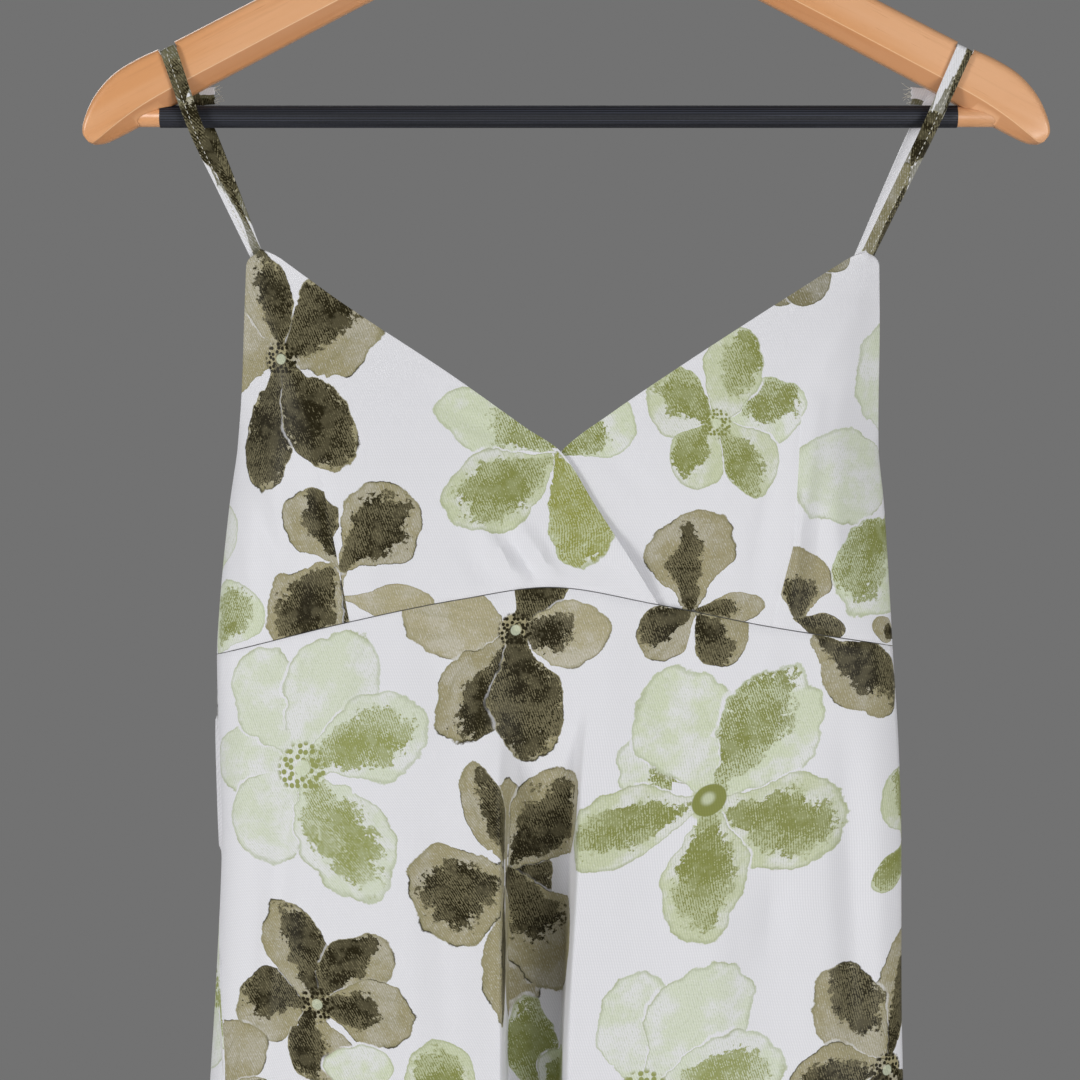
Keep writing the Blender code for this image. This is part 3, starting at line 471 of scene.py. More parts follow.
spareRows = {
    "skirtFront": {"top": -500, "bottom": -960, "left": -250, "right": 250},
    "skirtBack": {"top": -240, "bottom": -960, "left": -250, "right": 250},
    "bodiceBack": {"top": -150, "bottom": -260, "left": -190, "right": 190},
}
spare = {"pitch": (94.0, 82.0), "start": 14, "otherKind": 0.22, "bigShare": 0.74,
         "big": (48, 62), "small": (36, 44), "lengths": (0.86, 1.08), "lean": 9,
         "shift": (12, 10), "gap": (0.94, 1.1)}


def spareFlowers(panel, patch):       # loose rows of flowers for the sides that no photo shows
    found = []
    names = list(spareKinds)
    dice = random.Random(panel)
    acrossPitch, downPitch = spare["pitch"]

    def either(most):
        return dice.uniform(-most, most)

    row = 0
    z = patch["top"]
    while z > patch["bottom"]:
        x = patch["left"] + (row % 2) * acrossPitch * 0.5 + either(spare["start"])
        while x < patch["right"]:
            kind = names[(row * 2 + round(x / acrossPitch)) % len(names)]
            if dice.random() < spare["otherKind"]:
                kind = dice.choice(names)
            eye, kinds, slim = spareKinds[kind]
            big = dice.random() < spare["bigShare"]
            size = dice.uniform(*spare["big" if big else "small"])
            turn = dice.uniform(0, 360 / len(petalOrder))
            petals = []
            for index, angle in enumerate(petalOrder):
                length = size * dice.uniform(*spare["lengths"])
                petals.append((angle + turn + either(spare["lean"]), length,
                               length * dice.uniform(*slim), *kinds[index]))
            place = (x + either(spare["shift"][0]), z + either(spare["shift"][1]))
            found.append(flower(*place, eye, *petals))
            x += acrossPitch * dice.uniform(*spare["gap"])
        z -= downPitch
        row += 1
    return found


petalShape = {"middle": 0.48, "half": 0.53, "neck": 0.33, "full": 0.58, "reach": 1.36,
              "outside": 1.12}
farAway = 9.0
eyeReach = 0.017


def paintPetals(mesh, panelFlowers, beyond=petalShape["reach"]):
    # each face keeps its two uppermost petals, and its flower's eye, as attributes
    loops = len(mesh.loops)
    faces = len(mesh.polygons)
    flat = numpy.zeros(loops * 2)
    mesh.uv_layers["cloth"].data.foreach_get("uv", flat)
    flat = flat.reshape(-1, 2)
    totals = numpy.zeros(faces, dtype=int)
    mesh.polygons.foreach_get("loop_total", totals)
    owner = numpy.repeat(numpy.arange(faces), totals)
    centre = numpy.zeros((faces, 2))
    for axis in (0, 1):
        centre[:, axis] = numpy.bincount(owner, flat[:, axis], faces) / totals
    upperReach, lowerReach = numpy.full(faces, farAway), numpy.full(faces, farAway)
    upper = {"at": numpy.full((loops, 3), farAway)}
    for key in ("tint", "shade", "patch", "mark"):
        upper[key] = numpy.zeros((faces, 3))
    lower = {key: value.copy() for key, value in upper.items()}
    eyeAt = numpy.full((loops, 3), farAway * 3)
    eyeTone = numpy.zeros((faces, 3))
    shape = petalShape
    dice = random.Random(len(panelFlowers))
    for spec in panelFlowers:
        middle = numpy.array(spec["at"])
        for angle, length, width, paint, patch in spec["petals"]:
            seed, bend = dice.uniform(0, 5), dice.uniform(-0.3, 0.3)
            run = numpy.array((math.cos(math.radians(angle)), math.sin(math.radians(angle))))
            side = numpy.array((-run[1], run[0]))
            local = centre - middle
            along = local @ run / (length * mm)
            across = local @ side / (width * mm)
            step = numpy.clip(along / shape["full"], 0, 1)
            neck = shape["neck"] + (1 - shape["neck"]) * step * step * (3 - 2 * step)
            reach = numpy.sqrt(((along - shape["middle"]) / shape["half"]) ** 2
                               + (across / neck) ** 2)
            crowded = (upperReach < reach) & (lowerReach < reach) & (reach > shape["outside"])
            inside = (reach < beyond) & ~crowded
            if not inside.any():
                continue
            tint, shade, outline = paints[paint]
            patchAlong, patchAcross, patchLong, patchWide = patches[patch]
            corners = inside[owner]
            pushed = inside & ((upperReach < shape["outside"]) | (upperReach < lowerReach))
            for key in upper:
                chosen = pushed[owner] if key == "at" else pushed
                lower[key][chosen] = upper[key][chosen]
            lowerReach[pushed] = upperReach[pushed]
            upperReach[inside] = reach[inside]
            spot = flat[corners] - middle
            upper["at"][corners, 0] = spot @ run / (length * mm)
            upper["at"][corners, 1] = spot @ side / (width * mm)
            upper["at"][corners, 2] = seed
            upper["tint"][inside] = inks[tint]
            upper["shade"][inside] = inks[shade]
            upper["patch"][inside] = (patchAlong, patchAcross, patchLong)
            upper["mark"][inside] = (patchWide, outline, bend)
        if spec["eye"]:
            near = numpy.hypot(*(centre - middle).T) < eyeReach
            corners = near[owner]
            ink, size = eyes[spec["eye"]]
            eyeAt[corners, :2] = (flat[corners] - middle) / (mm * size)
            eyeAt[corners, 2] = 1.0 if spec["eye"] == "button" else 0.0
            eyeTone[near] = inks[ink]
    marks = {"eyeAt": ("CORNER", eyeAt), "eyeTone": ("FACE", eyeTone)}
    for name, values in (("upper", upper), ("lower", lower)):
        for key, data in values.items():
            marks[name + key.capitalize()] = ("CORNER" if key == "at" else "FACE", data)
    for name, (domain, data) in marks.items():
        layer = mesh.attributes.new(name, "FLOAT_VECTOR", domain)
        layer.data.foreach_set("vector", data.ravel())


class Nodes:                # short calls for wiring one material
    def __init__(self, material):
        self.tree = material.node_tree
        self.shader = self.tree.nodes["Principled BSDF"]

    def add(self, kind, settings=None, **sockets):
        node = self.tree.nodes.new(kind)
        for name, value in (settings or {}).items():
            setattr(node, name, value)
        for name, value in sockets.items():
            self.feed(node.inputs[name.replace("_", " ")], value)
        return node

    def feed(self, socket, value):
        if isinstance(value, bpy.types.NodeSocket):
            self.tree.links.new(value, socket)
        else:
            socket.default_value = value

    def math(self, operation, *values, clamp=False):
        node = self.tree.nodes.new("ShaderNodeMath")
        node.operation = operation
        node.use_clamp = clamp
        for socket, value in zip(node.inputs, values):
            self.feed(socket, value)
        return node.outputs[0]

    def sum(self, first, *others):
        for other in others:
            first = self.math("ADD", first, other)
        return first

    def times(self, first, second):
        return self.math("MULTIPLY", first, second)

    def minus(self, first, second):
        return self.math("SUBTRACT", first, second)

    def over(self, first, second):
        return self.math("DIVIDE", first, second)

    def length(self, x, y):
        return self.math("SQRT", self.sum(self.times(x, x), self.times(y, y)))

    def ramp(self, value, low, high, toLow=0.0, toHigh=1.0, smooth=True):
        node = self.tree.nodes.new("ShaderNodeMapRange")
        node.interpolation_type = "SMOOTHSTEP" if smooth else "LINEAR"
        for socket, item in zip(node.inputs, (value, low, high, toLow, toHigh)):
            self.feed(socket, item)
        return node.outputs[0]

    def mix(self, share, first, second, blend="MIX"):
        node = self.tree.nodes.new("ShaderNodeMix")
        node.data_type = "RGBA"
        node.blend_type = blend
        self.feed(node.inputs[0], share)
        self.feed(node.inputs[6], first)
        self.feed(node.inputs[7], second)
        return node.outputs[2]

    def noise(self, vector, scale, detail=2.0, roughness=0.5, output=0):
        node = self.add("ShaderNodeTexNoise", {"noise_dimensions": "3D"}, Vector=vector,
                        Scale=scale, Detail=detail, Roughness=roughness)
        return node.outputs[output]

    def drift(self, vector, scale, detail, roughness):      # three noises round nought
        colour = self.noise(vector, scale, detail, roughness, 1)
        return self.split(self.vector("SUBTRACT", colour, (0.5, 0.5, 0.5)))

    def attribute(self, name, output="Vector"):
        return self.add("ShaderNodeAttribute", {"attribute_name": name}).outputs[output]

    def place(self):
        return self.add("ShaderNodeTexCoord").outputs["Object"]

    def split(self, vector):
        return self.add("ShaderNodeSeparateXYZ", Vector=vector).outputs

    def join(self, x, y, z=0.0):
        return self.add("ShaderNodeCombineXYZ", X=x, Y=y, Z=z).outputs[0]

    def vector(self, operation, first, second):
        node = self.add("ShaderNodeVectorMath", {"operation": operation})
        self.feed(node.inputs[0], first)
        self.feed(node.inputs[1], second)
        return node.outputs[0]

    def surface(self, **sockets):           # values for the shader's own sockets
        for name, value in sockets.items():
            self.feed(self.shader.inputs[name.replace("_", " ")], value)

    def relief(self, height, strength, distance):
        bump = self.add("ShaderNodeBump", Height=height, Strength=strength, Distance=distance)
        self.surface(Normal=bump.outputs[0])


def newMaterial(name):
    material = bpy.data.materials.new(name)
    material.use_nodes = True
    return material, Nodes(material)


brush = {
    "wobble": 0.20, "wobbleScale": 62.0, "ragged": 0.085, "raggedScale": 185.0,
    "sponge": 120.0, "stipple": 520.0, "cloud": 46.0,
}


def petalLayer(nodes, name, coordinates, grain):     # wash, dark rim and ragged sponged patch
    u, v, seed = nodes.split(nodes.attribute(name + "At"))
    tint, shade = nodes.attribute(name + "Tint"), nodes.attribute(name + "Shade")
    patchAlong, patchAcross, patchLong = nodes.split(nodes.attribute(name + "Patch"))
    patchWide, outline, bend = nodes.split(nodes.attribute(name + "Mark"))
    shifted = nodes.vector("ADD", coordinates, nodes.join(seed, 0.0, 0.0))
    swirlX, swirlY, swirlZ = nodes.drift(shifted, brush["wobbleScale"], 1.5, 0.5)
    jagX, jagY, _ = nodes.drift(shifted, brush["raggedScale"], 3.0, 0.62)
    u = nodes.sum(u, nodes.times(swirlX, brush["wobble"]), nodes.times(jagX, brush["ragged"]))
    v = nodes.sum(v, nodes.times(swirlY, brush["wobble"] * 2.0),
                  nodes.times(jagY, brush["ragged"] * 2.0),
                  nodes.times(bend, nodes.minus(nodes.times(u, u), 0.35)))
    neck = nodes.ramp(u, 0.0, petalShape["full"], petalShape["neck"], 1.0)
    far = nodes.over(nodes.minus(u, petalShape["middle"]), petalShape["half"])
    wide = nodes.over(v, neck)
    reach = nodes.length(far, wide)
    mask = nodes.ramp(reach, 1.0, 0.975)

    cloud = nodes.noise(shifted, brush["cloud"], 4.0, 0.6)
    _, green, _ = nodes.split(tint)

    def byTint(brown, pale):              # one value for the brown inks, one for the pale ones
        return nodes.ramp(green, 0.36, 0.74, brown, pale)

    bare = nodes.times(nodes.ramp(cloud, 0.44, 0.62), byTint(0.20, 0.75))
    wash = nodes.mix(bare, tint, (*inks["ground"], 1))
    streakAt = nodes.join(nodes.times(u, 2.0), nodes.times(v, 7.0), seed)
    streak = nodes.noise(streakAt, 1.0, 4.0, 0.68)
    deeper = nodes.mix(1.0, tint, (0.70, 0.72, 0.62, 1), "MULTIPLY")
    wash = nodes.mix(nodes.ramp(streak, 0.45, 0.75, 0.0, byTint(0.45, 0.16)), wash, deeper)
    wash = nodes.mix(nodes.ramp(grain, 0.52, 0.66, 0.0, 0.34), wash, (*inks["ground"], 1))
    wash = nodes.mix(nodes.ramp(grain, 0.48, 0.36, 0.0, 0.40), wash, deeper)
    wash = nodes.mix(nodes.times(nodes.ramp(reach, 0.90, 0.975), 0.60), wash, deeper)

    spot = nodes.length(nodes.over(nodes.minus(u, patchAlong), patchLong),
                        nodes.over(nodes.minus(wide, patchAcross), patchWide))
    sponge = nodes.noise(shifted, brush["sponge"], 3.0, 0.6)
    stipple = nodes.noise(shifted, brush["stipple"], 2.0, 0.6)
    amount = nodes.sum(nodes.times(nodes.minus(1.0, spot), 1.5),
                       nodes.times(nodes.minus(sponge, 0.5), 1.9),
                       nodes.times(nodes.minus(stipple, 0.5), 1.35),
                       nodes.times(nodes.minus(grain, 0.5), 0.6))
    patch = nodes.times(nodes.ramp(amount, 0.0, 0.07), nodes.ramp(reach, 0.985, 0.95))
    thin = nodes.minus(nodes.ramp(cloud, 0.40, 0.60, 0.06, -0.04),
                       nodes.ramp(amount, 0.1, 1.2, 0.0, 0.05))
    flecked = nodes.mix(byTint(0.46, 0.72), shade, tint)
    fleck = nodes.ramp(nodes.sum(grain, thin), 0.485, 0.565)
    sponged = nodes.mix(nodes.ramp(sponge, 0.46, 0.62, 0.0, 0.20), shade, tint)
    sponged = nodes.mix(fleck, sponged, flecked)
    wash = nodes.mix(patch, wash, sponged)

    line = nodes.times(nodes.ramp(reach, 0.952, 0.972), nodes.ramp(swirlZ, -0.02, 0.07))
    return nodes.mix(nodes.times(line, outline), wash, shade), mask, reach


def eyeLayer(nodes):        # little dots round a pale middle, or a button with a light spot
    ex, ey, solid = nodes.split(nodes.attribute("eyeAt"))
    eyeTone = nodes.attribute("eyeTone")
    spot = nodes.join(ex, ey, 0.0)
    out = nodes.length(ex, ey)
    cells = nodes.add("ShaderNodeTexVoronoi", {"voronoi_dimensions": "2D"}, Vector=spot,
                      Scale=0.37, Randomness=0.62)
    dots = nodes.ramp(cells.outputs["Distance"], 0.42, 0.32)
    ring = nodes.times(nodes.ramp(out, 2.8, 3.6), nodes.ramp(out, 11.0, 8.8))
    dots = nodes.times(dots, ring)
    hollow = nodes.minus(1.0, solid)
    dotted = nodes.times(dots, hollow)
    button = nodes.times(nodes.ramp(out, 8.4, 7.6), solid)
    fromShine = nodes.length(nodes.sum(ex, 0.8), nodes.minus(ey, 0.8))
    shine = nodes.times(nodes.ramp(fromShine, 4.4, 1.6), 0.75)
    middle = nodes.times(nodes.ramp(out, 3.2, 2.6), hollow)
    buttonTone = nodes.mix(shine, eyeTone, (*inks["leafLight"], 1))
    return dotted, button, buttonTone, middle, eyeTone, nodes.ramp(out, 10.5, 8.5)


# printed twill: fade pales it for the wrong side, halo is the bare line round each petal
def printMaterial(name, fade, halo):
    material, nodes = newMaterial(name)
    uv = nodes.add("ShaderNodeUVMap", {"uv_map": "cloth"}).outputs[0]
    turned = nodes.add("ShaderNodeMapping", Vector=uv, Rotation=(0, 0, math.radians(-24)))
    twill = nodes.add("ShaderNodeTexWave", {"wave_type": "BANDS", "bands_direction": "X"},
                      Vector=turned.outputs[0], Scale=300.0, Distortion=1.6, Detail=2.0,
                      Detail_Scale=1.6)
    weft = nodes.add("ShaderNodeTexWave", {"wave_type": "BANDS", "bands_direction": "Y"},
                     Vector=uv, Scale=470.0, Distortion=1.0, Detail=1.0)
    slub = nodes.add("ShaderNodeMapping", Vector=turned.outputs[0], Scale=(1500, 420, 1))
    thready = nodes.noise(slub.outputs[0], 1.0, 2.0, 0.6)
    fine = nodes.noise(uv, 1000.0, 2.0, 0.6)
    grain = nodes.sum(nodes.times(fine, 0.48), nodes.times(thready, 0.40),
                      nodes.times(twill.outputs["Fac"], 0.12))
    lowerColour, lowerMask, _ = petalLayer(nodes, "lower", uv, grain)
    upperColour, upperMask, upperReach = petalLayer(nodes, "upper", uv, grain)
    dotted, button, buttonTone, middle, eyeTone, heart = eyeLayer(nodes)
    ground = (*inks["ground"], 1)
    upperTint = nodes.attribute("upperTint")
    colour = nodes.mix(heart, ground, upperTint)
    colour = nodes.mix(lowerMask, colour, lowerColour)
    _, upperGreen, _ = nodes.split(upperTint)
    broken = nodes.noise(uv, 85.0, 2.0, 0.5)
    bare = nodes.times(nodes.ramp(upperGreen, 0.36, 0.60, 0.55, 1.0),
                       nodes.ramp(broken, 0.42, 0.52, 0.15, 0.9))
    if halo:
        bare = nodes.times(bare, nodes.minus(1.0, heart))
        colour = nodes.mix(nodes.times(nodes.ramp(upperReach, 1.08, 1.03), bare), colour, ground)
    colour = nodes.mix(upperMask, colour, upperColour)
    colour = nodes.mix(nodes.times(middle, 0.7), colour, (*inks["leafLight"], 1))
    colour = nodes.mix(dotted, colour, eyeTone)
    colour = nodes.mix(button, colour, buttonTone)
    if fade > 0:
        colour = nodes.mix(fade, colour, ground)
    threads = nodes.times(twill.outputs["Fac"], weft.outputs["Fac"])
    dim = nodes.mix(nodes.ramp(threads, 0.0, 0.55), (0.885, 0.885, 0.89, 1), (1, 1, 1, 1))
    colour = nodes.mix(1.0, colour, dim, "MULTIPLY")
    nodes.surface(Base_Color=colour, Roughness=0.44, Specular_IOR_Level=0.12, Sheen_Weight=0.03,
                  Sheen_Roughness=0.4)
    soft = nodes.noise(uv, 60.0, 2.0, 0.5)
    nodes.relief(nodes.sum(nodes.times(threads, 0.6), nodes.times(soft, 0.5)), 0.35, 0.00012)
    return material


def applyModifiers(thing):
    bpy.context.view_layer.update()
    seen = thing.evaluated_get(bpy.context.evaluated_depsgraph_get())
    mesh = bpy.data.meshes.new_from_object(seen, preserve_all_data_layers=True,
                                           depsgraph=bpy.context.evaluated_depsgraph_get())
    thing.modifiers.clear()
    old = thing.data
    thing.data = mesh
    bpy.data.meshes.remove(old)


# a grid laid through rows of points, with its cloth coordinates as a UV map, then a wall
def gridPiece(name, rows, coordinates, materials, thickness, outwards=False):
    count, high = len(rows[0]), len(rows)
    shape = bmesh.new()
    bmesh.ops.create_grid(shape, x_segments=count - 1, y_segments=high - 1, size=0.5)
    where = {}
    for vertex in shape.verts:
        column = round((vertex.co.x + 0.5) * (count - 1))
        row = round((vertex.co.y + 0.5) * (high - 1))
        where[vertex] = (column, row)
        vertex.co = placed(rows[row][column])
    layer = shape.loops.layers.uv.new("cloth")
    for face in shape.faces:
        first = min(where[corner.vert][0] for corner in face.loops)
        for corner in face.loops:
            column, row = where[corner.vert]
            u, v = coordinates(column, row, first)
            corner[layer].uv = (u * mm, v * mm)
    piece = pieceFrom(shape, name, *materials)
    wall = piece.modifiers.new("wall", "SOLIDIFY")
    wall.thickness = thickness
    wall.offset = 1.0 if outwards else -1.0
    if len(materials) > 1:
        wall.material_offset = 1
    rim = piece.modifiers.new("rim", "BEVEL")
    rim.width = cloth["rim"]
    rim.segments = 2
    rim.limit_method = "ANGLE"
    rim.angle_limit = math.radians(62)
    applyModifiers(piece)
    piece.data.shade_smooth()
    return piece


def rowLengths(rows, anchorColumn, anchorX):      # distance along each row, as the cloth lay flat
    found = []
    for row in rows:
        run = [0.0]
        for before, after in zip(row, row[1:]):
            run.append(run[-1] + (after - before).length)
        anchor = anchorX(row) - run[anchorColumn]
        found.append([value + anchor for value in run])
    return found


def flowersOn(rows, coordinates, specs):      # each flower gets its place on the flat cloth
    ready = []
    for spec in specs:
        best = None
        for row, points in enumerate(rows):
            for column, point in enumerate(points):
                away = (point.x - spec["by"][0]) ** 2 + (point.z - spec["by"][1]) ** 2
                if best is None or away < best[0]:
                    best = (away, column, row, point)
        _, column, row, point = best
        u, v = coordinates(column, row, column)
        extra = (spec["x"] - point.x, spec["z"] - point.z)
        ready.append({**spec, "at": ((u + extra[0]) * mm, (v + extra[1]) * mm)})
    return ready


def makePanel(name, node, rows, lengths, coordinates, materials):
    specs = list(flowers.get(name, ()))
    if name in spareRows:
        specs += spareFlowers(name, spareRows[name])
    piece = gridPiece(name, rows, coordinates, materials, cloth["wall"])
    paintPetals(piece.data, flowersOn(rows, coordinates, specs))
    rideAs(piece, node)
    wide, tall = flatSize(lengths, rows)
    patternArea(piece)


def patternArea(piece):     # the flat pattern's own area, not the hung mesh's surface
    shape = bmesh.new()
    shape.from_mesh(piece.data)
    flatPlaces = shape.loops.layers.uv.active
    area = 0.0
    for face in shape.faces:
        spots = [loop[flatPlaces].uv for loop in face.loops]
        pairs = zip(spots, spots[1:] + spots[:1])
        area += 0.5 * abs(sum(here.x * there.y - there.x * here.y for here, there in pairs))
    shape.free()
    return 0.5 * area       # both sides of the wall carry the same cloth coordinates


def flatSize(lengths, rows):
    wide = max(max(row) for row in lengths) - min(min(row) for row in lengths)
    tall = max(point.z for row in rows for point in row)
    tall -= min(point.z for row in rows for point in row)
    return (wide * mm, tall * mm)


skirt = {
    "rows": 118, "leftColumns": 36, "rightColumns": 38, "backColumns": 84,
    "foldSpread": (-1.5, -1.1, -0.8, -0.55, -0.4, -0.25, -0.1, 0.05, 0.2, 0.35, 0.5, 0.8, 1.2),
    "foldMiddle": -13.0, "hemTurn": 17.0, "hemDip": 0.35, "hemDipWidth": 1.6,
    "seamDip": 0.55, "seamDipWidth": 1.3, "ridge": 0.30, "ridgeAt": 4.5, "ridgeWidth": 2.6,
}


def skirtShares():          # rows down the skirt, closer together at the seam
    shares = [0.0, 0.0012, 0.003, 0.006, 0.010]
    steps = skirt["rows"]
    shares += [0.010 + 0.985 * (index / steps) for index in range(1, steps + 1)]
    return shares[:-1] + [0.997, 1.0]


def skirtHeight(share, x, side):
    top = seamHeight(x, side) - seam["join"]
    return top + (body["hem"] - top) * share


def seamDip(z, x, side):
    away = seamHeight(x, side) - z
    dip = skirt["seamDip"] * math.exp(-(abs(away) / skirt["seamDipWidth"]) ** 2)
    pucker = 1 + 0.5 * math.sin(0.55 * x) + 0.4 * math.sin(1.27 * x + 1)
    beside = (abs(away) - skirt["ridgeAt"]) / skirt["ridgeWidth"]
    return skirt["ridge"] * pucker * math.exp(-beside ** 2) - dip


def hemTurn(z):
    above = z - body["hem"]
    return -skirt["hemDip"] * math.exp(-((above - skirt["hemTurn"]) / skirt["hemDipWidth"]) ** 2)


def skirtPoint(side, x, z):
    point = facePoint(side, x, z)
    point.y += (-1 if side == "front" else 1) * (seamDip(z, x, side) + hemTurn(z))
    return point


def frontPlaces(z):         # places across the front skirt, the same number at every height
    fold = foldAt(z)
    left, right = readTable(body, "left", z), readTable(body, "right", z)
    centre, half = 0.5 * (left + right), 0.5 * (right - left)
    middle = 0.5 * (fold["left"] + fold["right"])
    lefts, rights = [], []
    for share in skirt["foldSpread"]:
        if share > 0.85:
            continue
        lefts.append(min(fold["left"] + share * fold["leftSoft"], middle - 0.8 + share * 0.4))
        rights.append(max(fold["right"] - share * fold["rightSoft"], middle + 0.8 - share * 0.4))
    folds = lefts + [middle] + list(reversed(rights))

    def angleOf(x):
        share = (x - centre) / half
        return math.acos(math.copysign(abs(share) ** (body["roundness"] / 2), share))

    first, last = angleOf(folds[0]), angleOf(folds[-1])
    start = math.pi - math.radians(readTable(seamTurn, "degrees", z))
    places = []
    for index in range(1, skirt["leftColumns"]):
        places.append(sectionX(start + (first - start) * index / skirt["leftColumns"], z))
    anchor = len(places) + len(lefts) + 2
    places += folds
    for index in range(1, skirt["rightColumns"]):
        places.append(sectionX(last * (1 - index / skirt["rightColumns"]), z))
    return places, anchor


def makeSkirtFront(materials):
    rows = []
    for share in reversed(skirtShares()):
        places, anchor = frontPlaces(skirtHeight(share, 0, "front"))
        points = [skirtPoint("front", x, skirtHeight(share, x, "front")) for x in places]
        leftZ = skirtHeight(share, readTable(body, "left", points[0].z), "front")
        rightZ = skirtHeight(share, readTable(body, "right", points[-1].z), "front")
        rows.append(stripEnds(leftZ, True, True) + points
                    + list(reversed(stripEnds(rightZ, False, True))))
    lengths = rowLengths(rows, anchor, lambda row: skirt["foldMiddle"])
    makePanel("skirtFront", "skirt_front", rows, lengths,
              lambda column, row, first: (lengths[row][column], rows[row][column].z),
              materials)


def makeBackPanel(name, node, rows, materials):
    lengths = rowLengths(rows, len(rows[0]) // 2, lambda row: 0.0)
    makePanel(name, node, rows, lengths,
              lambda column, row, first: (-lengths[row][column], rows[row][column].z),
              materials)


def makeSkirtBack(materials):
    rows = []
    for share in reversed(skirtShares()):
        level = skirtHeight(share, 0, "back")
        start = -math.radians(readTable(seamTurn, "degrees", level))
        points = []
        for index in range(1, skirt["backColumns"]):
            turn = start + (math.pi - start) * index / skirt["backColumns"]
            if turn < 0:
                points.append(roundPoint(level, -turn))
                continue
            x = sectionX(math.pi - turn, level)
            points.append(skirtPoint("back", x, skirtHeight(share, x, "back")))
        leftZ = skirtHeight(share, readTable(body, "left", level), "back")
        rightZ = skirtHeight(share, readTable(body, "right", level), "back")
        row = stripEnds(rightZ, False, False) + list(reversed(points))
        rows.append(row + list(reversed(stripEnds(leftZ, True, False))))
    makeBackPanel("skirtBack", "skirt_back", rows, materials)


cup = {"rows": 62, "sideColumns": 24, "neckColumns": 40, "dartGroove": 0.7, "dartWidth": 0.9,
       "tipRound": 5.0, "edgeLift": 3.2, "liftHeight": -204, "liftReach": (6, 13)}


def curvePoint(table, share):
    points = [Vector(pair) for pair in zip(reversed(table["x"]), reversed(table["z"]))]
    lengths = [0.0]
    for before, after in zip(points, points[1:]):
        lengths.append(lengths[-1] + (after - before).length)
    target = share * lengths[-1]
    upper = next((i for i, length in enumerate(lengths) if length >= target - 1e-9),
                 len(points) - 1)
    upper = max(upper, 1)
    before, after = points[upper - 1], points[upper]
    span = lengths[upper] - lengths[upper - 1]
    part = (target - lengths[upper - 1]) / span
    ahead = (points[min(upper + 1, len(points) - 1)] - before).normalized() * span
    behind = (after - points[max(upper - 2, 0)]).normalized() * span
    return hermite(before, behind, after, ahead, part)


def dartX(side, z):
    line = darts[side]["line"]
    for (x0, z0), (x1, z1) in zip(line, line[1:]):
        if z <= z1 or (x1, z1) == line[-1]:
            return x0 + (x1 - x0) * (z - z0) / (z1 - z0)
    return line[-1][0]


def layerInset(x, z):
    edge = readTable(leftNeck, "x", z)
    return layers["inset"] * (1 - smoothStep((x - edge - layers["full"]) / layers["fade"]))


def cupRows(side, neckline):
    left = side == "left"
    bottom = seamHeight(readTable(body, side, body["sideSeam"]), "front") + seam["join"]
    apex = darts[side]["apex"]

    def onCup(x, z):
        point = facePoint("front", x, z)
        groove = math.exp(-((x - dartX(side, z)) / cup["dartWidth"]) ** 2)
        fade = smoothStep((apex - z + 4) / 20)
        point.y += cup["dartGroove"] * groove * fade - seamDip(z, x, "front")
        if left:
            edge = readTable(leftNeck, "x", z)
            wide, high = cup["liftReach"]
            lift = math.exp(-((x - edge) / wide) ** 2 - ((z - cup["liftHeight"]) / high) ** 2)
            point.y -= cup["edgeLift"] * lift
        else:
            point.y += layerInset(x, z)
        return point

    def flatPoint(share, across):
        z = bottom + (body["cupPoint"] - bottom) * share
        edge, neck = Vector((readTable(body, side, z), z)), curvePoint(neckline, share)
        spot = edge.lerp(neck, across)
        lowEdge = Vector((readTable(body, side, bottom), bottom))
        low = lowEdge.lerp(curvePoint(neckline, 0), across)
        arch = seamHeight(low.x, "front") + seam["join"] - low.y
        return Vector((spot.x, spot.y + arch * (1 - share)))

    def dartShare(share):
        low, high = 0.02, 0.98
        for _ in range(24):
            middle = 0.5 * (low + high)
            spot = flatPoint(share, middle)
            past = (spot.x - dartX(side, spot.y)) * (1 if left else -1)
            low, high = (middle, high) if past < 0 else (low, middle)
        return 0.5 * (low + high)

    shares = [0.0, 0.006, 0.016, 0.03]
    shares += [0.03 + 0.93 * index / cup["rows"] for index in range(1, cup["rows"] + 1)]
    shares += [0.972, 0.983, 0.991, 0.997, 1.0]
    rows = []
    for share in shares:
        dart = min(max(dartShare(share), 0.16), 0.84)
        width = abs(flatPoint(share, 1).x - flatPoint(share, 0).x)
        fine = min(1.1 / width, 0.12)
        acrosses = [(dart - fine) * (index / cup["sideColumns"]) ** 1.6
                    for index in range(1, cup["sideColumns"])]
        acrosses += [dart - fine, dart - fine * 0.5, dart, dart + fine * 0.5, dart + fine]
        acrosses += [dart + fine + (1 - dart - fine) * index / cup["neckColumns"]
                     for index in range(1, cup["neckColumns"] + 1)]
        points = [onCup(*flatPoint(share, across)) for across in acrosses]
        z = flatPoint(share, 0).y
        if z <= body["underarm"]:
            far, near = stripEnds(z, left, True)
        else:
            near = facePoint("front", readTable(body, side, z), z)
            near.y = min(near.y + (0 if left else layerInset(near.x, z)), -cloth["strip"])
            away = (near - points[0]).normalized()
            armhole = smoothStep((z - body["underarm"]) / body["armholeRise"])
            straight = Vector((0, 1, 0)).lerp(away, armhole).normalized()
            far = near + straight * (cloth["strip"] - seam["gap"] * 0.5)
        row = [far, near] + points
        below = (1 - share) * (body["cupPoint"] - bottom)
        if below < cup["tipRound"]:
            centre = 0.5 * (row[0].x + row[-1].x)
            lost = (cup["tipRound"] - below) / cup["tipRound"]
            squeeze = max(math.sqrt(max(1 - lost * lost, 0)), 0.16)
            for point in row:
                point.x = centre + (point.x - centre) * squeeze
        rows.append(row)
    return rows, cup["sideColumns"] + 3


